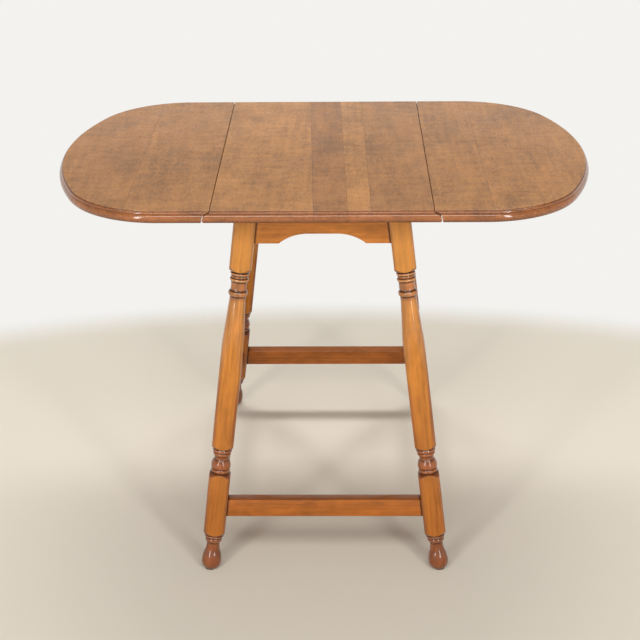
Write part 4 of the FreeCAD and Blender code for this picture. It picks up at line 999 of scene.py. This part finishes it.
class PEMBROKE_OT_rails(bpy.types.Operator):
    """Make the four aprons, the front and back ones arched, and the four stretchers"""
    bl_idname = "pembroke.rails"
    bl_label = "Aprons and stretchers"

    def execute(self, context):
        legs, rails, finish, top = sizes("legs"), sizes("rails"), sizes("finish"), sizes("top")
        across = (legs.splay_x, legs.foot_x)
        deep = (legs.splay_y, legs.foot_y)
        for across_front in (True, False):
            (along_splay, along_foot), (splay, foot) = (across, deep) if across_front else (deep, across)
            slope, lean = along_splay / top.height, math.atan(splay / top.height)
            inside = along_foot - legs.square / 2
            buried = along_foot - RAIL_SHORT
            level = top.height - top.thickness - rails.apron_height / 2
            outline = apron_outline(rails, buried - slope * level, lean, across_front)
            near, far = -rails.apron_out, rails.apron_thick - rails.apron_out
            if not across_front:
                near, far = -far, -near
            apron = rail_mesh("apron", outline, near, far, across_front, foot, lean)
            reach = buried - slope * rails.stretcher_level
            middle = rails.stretcher_level / math.cos(lean)
            low, high = middle - rails.stretcher_height / 2, middle + rails.stretcher_height / 2
            bar = [(-reach, low), (reach, low), (reach, high), (-reach, high)]
            thick = rails.stretcher_thick / 2
            stretcher = rail_mesh("stretcher", bar, -thick, thick, across_front, foot, lean)
            turn, flip = (GRAIN_ALONG_X, (0, 1, 0)) if across_front else (GRAIN_ALONG_Y, (1, 0, 0))
            made_at = -1 if across_front else 1
            for number, (name, sign) in enumerate(ENDS if across_front else SIDES):
                for kind, mesh, colour in (("apron", apron, finish.apron),
                                           ("stretcher", stretcher, finish.stretcher)):
                    node = f"{kind}_{name}"
                    own = mesh.copy() if sign == made_at else mirrored(mesh.copy(), flip)
                    # Each rail has its own piece of wood.
                    shift = (0.17 * number, 0.11 + 0.07 * number, 0.53 * len(node))
                    wood = rail_wood(f"Lacquered maple {kind} {name}", colour, turn, shift, slope, inside)
                    finished(node, own, wood)
        return {"FINISHED"}


# Rounding of the edges taken over from the CAD.
BLOCK_EASE, FLAP_EASE, PIN_EASE, STAY_EASE = 0.6 * MM, 0.18 * MM, 0.15 * MM, 0.22 * MM


class PEMBROKE_OT_corner_blocks(bpy.types.Operator):
    """Ease the edges of the four corner blocks inside the aprons"""
    bl_idname = "pembroke.corner_blocks"
    bl_label = "Corner blocks"

    def execute(self, context):
        wood = bare_wood()
        for end, side, *_ in CORNERS:
            dressed(f"corner_block_{end}_{side}", BLOCK_EASE, wood)
        return {"FINISHED"}


class PEMBROKE_OT_hinges(bpy.types.Operator):
    """Ease the flaps and pins of the four drop-leaf hinges, in dull brass"""
    bl_idname = "pembroke.hinges"
    bl_label = "Hinges"

    def execute(self, context):
        brass = aged_metal("Dull brass", sizes("finish").brass, 0.36, 0.5)
        for end, side, *_ in CORNERS:
            for flap in ("top", "leaf"):
                dressed(f"hinge_{flap}_flap_{side}_{end}", FLAP_EASE, brass)
        dressed("hinge_pins", PIN_EASE, brass)
        return {"FINISHED"}


class PEMBROKE_OT_stays(bpy.types.Operator):
    """Ease the brackets, arms and links of the two folding stays, in zinc-plated steel"""
    bl_idname = "pembroke.stays"
    bl_label = "Folding stays"

    def execute(self, context):
        zinc = aged_metal("Zinc-plated steel", sizes("finish").zinc, 0.40, 0.6)
        for side, _ in SIDES:
            for part in ("rail_bracket", "stay_arm", "stay_link", "leaf_bracket"):
                dressed(f"{side}_{part}", STAY_EASE, zinc)
        return {"FINISHED"}


def fastener_tree(name, lengths):
    """A geometry node tree that sets one fastener on each point, along the point's drive direction.

    Gives the tree, the identifier of each named input, the group input's sockets and a function that ends it.
    """
    tree = bpy.data.node_groups.new(name, "GeometryNodeTree")
    tree.interface.new_socket("Geometry", in_out="INPUT", socket_type="NodeSocketGeometry")
    tree.interface.new_socket("Geometry", in_out="OUTPUT", socket_type="NodeSocketGeometry")
    marks = {}
    for label, kind in [(label, "Float") for label in lengths] + [("Seed", "Int"), ("Material", "Material")]:
        socket = tree.interface.new_socket(label, in_out="INPUT", socket_type=f"NodeSocket{kind}")
        marks[label] = socket.identifier
    given = tree.nodes.new("NodeGroupInput").outputs

    def close(fastener):
        drive = add(tree, "GeometryNodeInputNamedAttribute", {"Name": "drive"}, data_type="FLOAT_VECTOR")
        facing = add(tree, "FunctionNodeAlignRotationToVector", {"Vector": drive.outputs[0]}, axis="Z")
        chance = add(tree, "FunctionNodeRandomValue", {2: 0.0, 3: math.tau, "Seed": given["Seed"]},
                     data_type="FLOAT")
        spin = add(tree, "FunctionNodeAxisAngleToRotation", {"Axis": (0, 0, 1), "Angle": chance.outputs[1]})
        links = {"Rotation": facing.outputs[0], "Rotate By": spin.outputs[0]}
        turned = add(tree, "FunctionNodeRotateRotation", links, rotation_space="LOCAL")
        links = {"Points": given["Geometry"], "Instance": fastener, "Rotation": turned.outputs[0]}
        placed = add(tree, "GeometryNodeInstanceOnPoints", links)
        real = add(tree, "GeometryNodeRealizeInstances", {"Geometry": placed.outputs[0]})
        links = {"Geometry": real.outputs[0], "Material": given["Material"]}
        painted = add(tree, "GeometryNodeSetMaterial", links)
        add(tree, "NodeGroupOutput", {"Geometry": painted.outputs[0]})

    return tree, marks, given, close


def cone(tree, low, high, depth, count):
    """A round stem or cone from its start up."""
    links = {"Vertices": count, "Radius Bottom": low, "Radius Top": high, "Depth": depth}
    return add(tree, "GeometryNodeMeshCone", links).outputs[0]


def vector(tree, **parts):
    """A vector from its X, Y and Z."""
    return add(tree, "ShaderNodeCombineXYZ", parts).outputs[0]


def moved(tree, geometry, **changes):
    """Geometry moved or scaled."""
    return add(tree, "GeometryNodeTransform", {"Geometry": geometry, **changes}).outputs[0]


def joined(tree, *meshes):
    """Solids grown into one."""
    whole = add(tree, "GeometryNodeMeshBoolean", {}, operation="UNION", solver="EXACT")
    for mesh in meshes:
        tree.links.new(mesh, whole.inputs["Mesh 2"])
    return whole.outputs[0]


SCREW_ROUND, RIVET_ROUND = 40, 32
# Point of a screw, in shank radii. Slot's length and width, in head radii, and its share of the head's depth.
SCREW_POINT, SLOT_LENGTH, SLOT_WIDTH, SLOT_DEPTH = 2.0, 2.4, 0.35, 0.5


def screw_tree():
    """Slotted, countersunk wood screws: cone head, shank and point, with the slot cut across the head."""
    tree, marks, given, close = fastener_tree("Countersunk screws", (
        "Head radius", "Head depth", "Shank radius", "Length", "Slot width", "Slot depth"))
    head_radius, sink, radius = given["Head radius"], given["Head depth"], given["Shank radius"]
    point = maths(tree, "MULTIPLY", radius, SCREW_POINT)
    stem = maths(tree, "SUBTRACT", given["Length"], point)
    head = cone(tree, head_radius, radius, sink, SCREW_ROUND)
    start = vector(tree, Z=maths(tree, "MULTIPLY", sink, 0.5))
    shank = moved(tree, cone(tree, radius, radius, stem, SCREW_ROUND), Translation=start)
    tip = moved(tree, cone(tree, radius, 0.0, point, SCREW_ROUND), Translation=vector(tree, Z=stem))
    size = vector(tree, X=maths(tree, "MULTIPLY", head_radius, SLOT_LENGTH), Y=given["Slot width"],
                  Z=maths(tree, "MULTIPLY", given["Slot depth"], 2.0))
    slot = add(tree, "GeometryNodeMeshCube", {"Size": size})
    links = {"Mesh 1": joined(tree, head, shank, tip), "Mesh 2": slot.outputs[0]}
    slotted = add(tree, "GeometryNodeMeshBoolean", links, operation="DIFFERENCE", solver="EXACT")
    close(slotted.outputs[0])
    return tree, marks


def rivet_tree():
    """Rivets: a round stem with a low dome at each end."""
    tree, marks, given, close = fastener_tree("Domed rivets", ("Head radius", "Dome", "Stem radius", "Grip"))
    stem = cone(tree, given["Stem radius"], given["Stem radius"], given["Grip"], RIVET_ROUND)
    links = {"Segments": RIVET_ROUND, "Rings": RIVET_ROUND // 2, "Radius": 1.0}
    ball = add(tree, "GeometryNodeMeshUVSphere", links)
    low = vector(tree, X=given["Head radius"], Y=given["Head radius"], Z=given["Dome"])
    near = moved(tree, ball.outputs[0], Scale=low)
    far = moved(tree, near, Translation=vector(tree, Z=given["Grip"]))
    close(joined(tree, stem, near, far))
    return tree, marks


def fastened(name, group, values, spots, body, slot, *nodes):
    """Fasteners at spots, each (place, drive direction), as one mesh on one body."""
    tree, marks = group
    points = bpy.data.meshes.new(f"{name}_points")
    points.from_pydata([tuple(place) for place, drive in spots], [], [])
    directions = [part for place, drive in spots for part in drive]
    points.attributes.new("drive", "FLOAT_VECTOR", "POINT").data.foreach_set("vector", directions)
    inputs = {marks[label]: value for label, value in values.items()}
    mesh = evaluated(points, ("NODES", {"node_group": tree}), inputs=inputs)
    if not mesh.polygons:
        raise RuntimeError(f"{name} came out empty")
    return put(name, creased(mesh, 30), values["Material"], body, slot, *nodes)


# Hinge screws: aside as a share of the hinge's width, and along as a share of the flap past the knuckle.
HINGE_SCREW_ASIDE, HINGE_SCREW_ALONG = 0.28, 0.68
# The top fixing screw stands aside in its corner block by a share of the block's thickness.
RISING_ASIDE = 0.55


class PEMBROKE_OT_screws(bpy.types.Operator):
    """Drive the screws of hinges, stays, corner blocks and top"""
    bl_idname = "pembroke.screws"
    bl_label = "Screws"

    def execute(self, context):
        top, legs, rails, fit = sizes("top"), sizes("legs"), sizes("rails"), sizes("fittings")
        group = screw_tree()
        steel = aged_metal("Bright steel screws", sizes("finish").steel, 0.38, 0.4)

        def screw(head, sink, shank, long, seed):
            return {"Head radius": head, "Head depth": sink, "Shank radius": shank, "Length": long,
                    "Slot width": SLOT_WIDTH * head, "Slot depth": SLOT_DEPTH * sink, "Seed": seed,
                    "Material": steel}

        small = screw(fit.small_head, fit.small_sink, fit.small_shank, fit.small_length, 3)
        under = top.height - top.thickness
        lean = math.atan(legs.splay_x / top.height)
        plane = Matrix.Translation((legs.foot_x, 0, 0)) @ Matrix.Rotation(-lean, 4, "Y")
        rail_pivot = under + top.pin_rise - fit.stay_down
        on_frame = []
        for side, way in SIDES:
            on_leaf = []
            for sign, hand in product((-1, 1), repeat=2):
                y = sign * fit.hinge_place + hand * HINGE_SCREW_ASIDE * fit.hinge_width
                for flap, spots, out in ((fit.hinge_short, on_frame, -1), (fit.hinge_long, on_leaf, 1)):
                    along = fit.knuckle + HINGE_SCREW_ALONG * (flap - fit.knuckle)
                    spots.append(((way * (top.seam + out * along), y, under), (0, 0, 1)))
            for hand in (-1, 1):
                y = hand * fit.bracket_screw
                on_leaf.append(((way * (top.seam + fit.stay_reach), y, under - fit.stay_plate), (0, 0, 1)))
                spot = plane @ Vector((rails.apron_out + fit.stay_plate, y, rail_pivot / math.cos(lean)))
                drive = plane.to_3x3() @ Vector((-1, 0, 0))
                on_frame.append(((way * spot.x, spot.y, spot.z), (way * drive.x, drive.y, drive.z)))
            fastened(f"{side}_leaf_screws", group, small, on_leaf, f"{side}_leaf", "screw_steel",
                     f"{side}_hinge_screws", f"{side}_stay_screws")
        fastened("frame_screws", group, small, on_frame, "frame", "screw_steel",
                 "hinge_top_screws", "stay_rail_screws")
        level = under - rails.block_height / 2
        corner = Vector((legs.splay_x / top.height * level - legs.foot_x,
                         legs.splay_y / top.height * level - legs.foot_y, under - rails.block_height))
        turn = Matrix.Rotation(math.radians(45), 3, "Z")
        nose = (legs.square - legs.chamfer) / math.sqrt(2)
        driven = corner + turn @ Vector((nose + rails.block_thick, 0, rails.block_height / 2))
        inward = turn @ Vector((-1, 0, 0))
        rising = corner + turn @ Vector((nose + rails.block_thick / 2, RISING_ASIDE * rails.block_thick, 0))
        into_leg, into_top = [], []
        for *_, sign, way in CORNERS:
            flip = Matrix.Diagonal((-way, -sign, 1))
            into_leg.append((flip @ driven, flip @ inward))
            into_top.append((flip @ rising, (0, 0, 1)))
        for name, spots, long, seed, node in (
                ("corner_screws", into_leg, fit.block_length, 5, "corner_block_screws"),
                ("top_screws", into_top, fit.rising_length, 8, "top_fixing_screws")):
            values = screw(fit.long_head, fit.long_sink, fit.long_shank, long, seed)
            fastened(name, group, values, spots, "frame", "screw_steel", node)
        return {"FINISHED"}


class PEMBROKE_OT_rivets(bpy.types.Operator):
    """Set the rivets of the folding stays"""
    bl_idname = "pembroke.rivets"
    bl_label = "Rivets"

    def execute(self, context):
        top, fit = sizes("top"), sizes("fittings")
        group = rivet_tree()
        pin = top.height - top.thickness + top.pin_rise
        middle = -fit.stay_plate / 2
        step = fit.stay_plate + fit.play
        values = {"Head radius": fit.rivet_head, "Dome": fit.rivet_dome, "Stem radius": fit.rivet_stem,
                  "Grip": 2 * step, "Seed": 1, "Material": bpy.data.materials["Zinc-plated steel"]}
        rail = (top.seam - fit.stay_in, pin - fit.stay_down)
        elbow = (rail[0] + fit.stay_reach, rail[1] - fit.stay_drop)
        leaf = (top.seam + fit.stay_reach, pin - fit.stay_drop)
        on_rail = [((way * rail[0], middle - step, rail[1]), (0, 1, 0)) for _, way in SIDES]
        fastened("rail_rivets", group, values, on_rail, "frame", "stay_steel",
                 "left_rail_rivet", "right_rail_rivet")
        for side, way in SIDES:
            for name, (x, z), body in (("elbow_rivet", elbow, "arm"), ("leaf_rivet", leaf, "leaf")):
                fastened(f"{side}_{name}_domed", group, values, [((way * x, middle, z), (0, 1, 0))],
                         f"{side}_{body}", "stay_steel", f"{side}_{name}")
        return {"FINISHED"}


# The photograph's camera: place in metres, turns in degrees, lens and sensor in millimetres.
CAMERA_PLACE = (0.0310, -2.3558, 1.4328)
CAMERA_YAW, CAMERA_PITCH, CAMERA_ROLL = 0.983, 64.993, -0.545
CAMERA_LENS, CAMERA_SENSOR = 79.557, 36
# Soft boxes: place, the point they face, width and depth, power in watts.
SOFT_BOXES = (
    ("Left soft box", (-2.1, -3.6, 1.7), (0, 0, 0.50), (0.42, 3.0), 66),
    ("Right soft box", (2.1, -3.6, 1.7), (0, 0, 0.50), (0.42, 3.0), 66),
    ("Front soft box", (0, -2.5, 3.0), (0, 0, 0.60), (2.6, 0.7), 46),
    ("Back soft box", (0, 1.3, 2.8), (0, 0.1, 0.60), (2.4, 0.5), 50),
)
WORLD_LEVEL = 0.31
# Pale sweep round the stage: radius of the level floor, of the wall, and the wall's height, in metres.
FLOOR_RADIUS, SWEEP_RADIUS, SWEEP_HEIGHT, SWEEP_SIDES = 4.5, 6.0, 2.5, 96
# The floor lies a hair below the feet, and fades to the backdrop over an oval, between two radii.
FLOOR_DROP, FADE_OVAL, FADE = 0.2 * MM, (0.55, 1, 1), (0.68, 0.84)


def floor_paint():
    """Pale painted floor that fades to a white backdrop, where the camera sees it, away from the table."""
    finish = sizes("finish")
    material, tree, shader = blank("Pale painted floor")
    feed(shader, {"Base Color": shade(finish.floor), "Roughness": 0.7})
    oval = add(tree, "ShaderNodeMapping", {"Vector": position(tree), "Scale": FADE_OVAL})
    away = add(tree, "ShaderNodeVectorMath", {0: oval.outputs[0]}, operation="LENGTH").outputs["Value"]
    # One for what the camera sees, straight, mirrored or through glass, and nought for other light.
    path = add(tree, "ShaderNodeLightPath", {}).outputs
    seen = maths(tree, "MAXIMUM", path["Is Camera Ray"], path["Is Glossy Ray"])
    seen = maths(tree, "MAXIMUM", seen, path["Is Transmission Ray"])
    fade = maths(tree, "MULTIPLY", ranged(tree, away, *FADE, smooth=True), seen)
    white = add(tree, "ShaderNodeEmission", {"Color": shade(finish.backdrop), "Strength": 1.0})
    blend = add(tree, "ShaderNodeMixShader", {0: fade, 1: shader.outputs[0], 2: white.outputs[0]})
    feed(tree.nodes["Material Output"], {"Surface": blend.outputs[0]})
    return material


class PEMBROKE_OT_stage(bpy.types.Operator):
    """Lay the pale floor, hang the soft boxes and set the camera"""
    bl_idname = "pembroke.stage"
    bl_label = "Stage"

    def execute(self, context):
        scene = context.scene
        bend = SWEEP_RADIUS - FLOOR_RADIUS
        rings = arc((FLOOR_RADIUS, bend), bend, -90, 0, 12) + [(SWEEP_RADIUS, SWEEP_HEIGHT)]
        turns = np.linspace(0, math.tau, SWEEP_SIDES, endpoint=False)
        points = [(r * math.cos(a), r * math.sin(a), z - FLOOR_DROP) for r, z in rings for a in turns]
        mesh = bpy.data.meshes.new("floor")
        mesh.from_pydata(points, [], [tuple(range(SWEEP_SIDES))] + grid(len(rings), SWEEP_SIDES, closed=True))
        mesh.materials.append(floor_paint())
        floor = bpy.data.objects.new("floor", mesh)
        scene.collection.objects.link(floor)
        scene.world = bpy.data.worlds.new("Studio")
        scene.world.use_nodes = True
        feed(scene.world.node_tree.nodes["Background"], {"Color": (1, 1, 1, 1), "Strength": WORLD_LEVEL})
        for name, place, target, (width, depth), power in SOFT_BOXES:
            light = bpy.data.lights.new(name, "AREA")
            light.shape = "RECTANGLE"
            light.size, light.size_y = width, depth
            light.energy = power
            lamp = bpy.data.objects.new(name, light)
            lamp.location = place
            lamp.rotation_euler = (Vector(target) - Vector(place)).to_track_quat("-Z", "Y").to_euler()
            scene.collection.objects.link(lamp)
        lens = bpy.data.cameras.new("Camera")
        lens.lens, lens.sensor_width = CAMERA_LENS, CAMERA_SENSOR
        camera = bpy.data.objects.new("Camera", lens)
        stand = Matrix.Translation(CAMERA_PLACE)
        for turn, axis in ((CAMERA_YAW, "Z"), (CAMERA_PITCH, "X"), (CAMERA_ROLL, "Z")):
            stand = stand @ Matrix.Rotation(math.radians(turn), 4, axis)
        camera.matrix_world = stand
        scene.collection.objects.link(camera)
        scene.camera = camera
        scene.view_settings.view_transform = "Standard"
        return {"FINISHED"}


GROUPS = (("top", PembrokeTop), ("legs", PembrokeLegs), ("rails", PembrokeRails),
          ("fittings", PembrokeFittings), ("finish", PembrokeFinish))
OPERATORS = (PEMBROKE_OT_boards, PEMBROKE_OT_legs, PEMBROKE_OT_rails, PEMBROKE_OT_corner_blocks,
             PEMBROKE_OT_hinges, PEMBROKE_OT_stays, PEMBROKE_OT_screws, PEMBROKE_OT_rivets, PEMBROKE_OT_stage)


class PEMBROKE_PT_panel(bpy.types.Panel):
    """Sizes, colours and building steps of the table"""
    bl_idname = "PEMBROKE_PT_panel"
    bl_label = "Pembroke table"
    bl_space_type = "VIEW_3D"
    bl_region_type = "UI"
    bl_category = "Pembroke table"

    def draw(self, context):
        for name, group in GROUPS:
            box = self.layout.box()
            box.label(text=group.__name__)
            for label in group.__annotations__:
                box.prop(sizes(name), label)
        for operator in OPERATORS:
            self.layout.operator(operator.bl_idname)


def register():
    """Register the property groups, operators and panel."""
    for name, group in GROUPS:
        bpy.utils.register_class(group)
        setattr(bpy.types.Scene, f"pembroke_{name}", PointerProperty(type=group))
    for operator in OPERATORS:
        bpy.utils.register_class(operator)
    bpy.utils.register_class(PEMBROKE_PT_panel)


def unregister():
    """Take everything back out."""
    bpy.utils.unregister_class(PEMBROKE_PT_panel)
    for operator in reversed(OPERATORS):
        bpy.utils.unregister_class(operator)
    for name, group in reversed(GROUPS):
        delattr(bpy.types.Scene, f"pembroke_{name}")
        bpy.utils.unregister_class(group)


def main():
    """Build every piece."""
    register()
    bpy.ops.pembroke.boards()
    bpy.ops.pembroke.legs()
    bpy.ops.pembroke.rails()
    bpy.ops.pembroke.corner_blocks()
    bpy.ops.pembroke.hinges()
    bpy.ops.pembroke.stays()
    bpy.ops.pembroke.screws()
    bpy.ops.pembroke.rivets()
    bpy.ops.pembroke.stage()


if __name__ == "__main__":
    main()
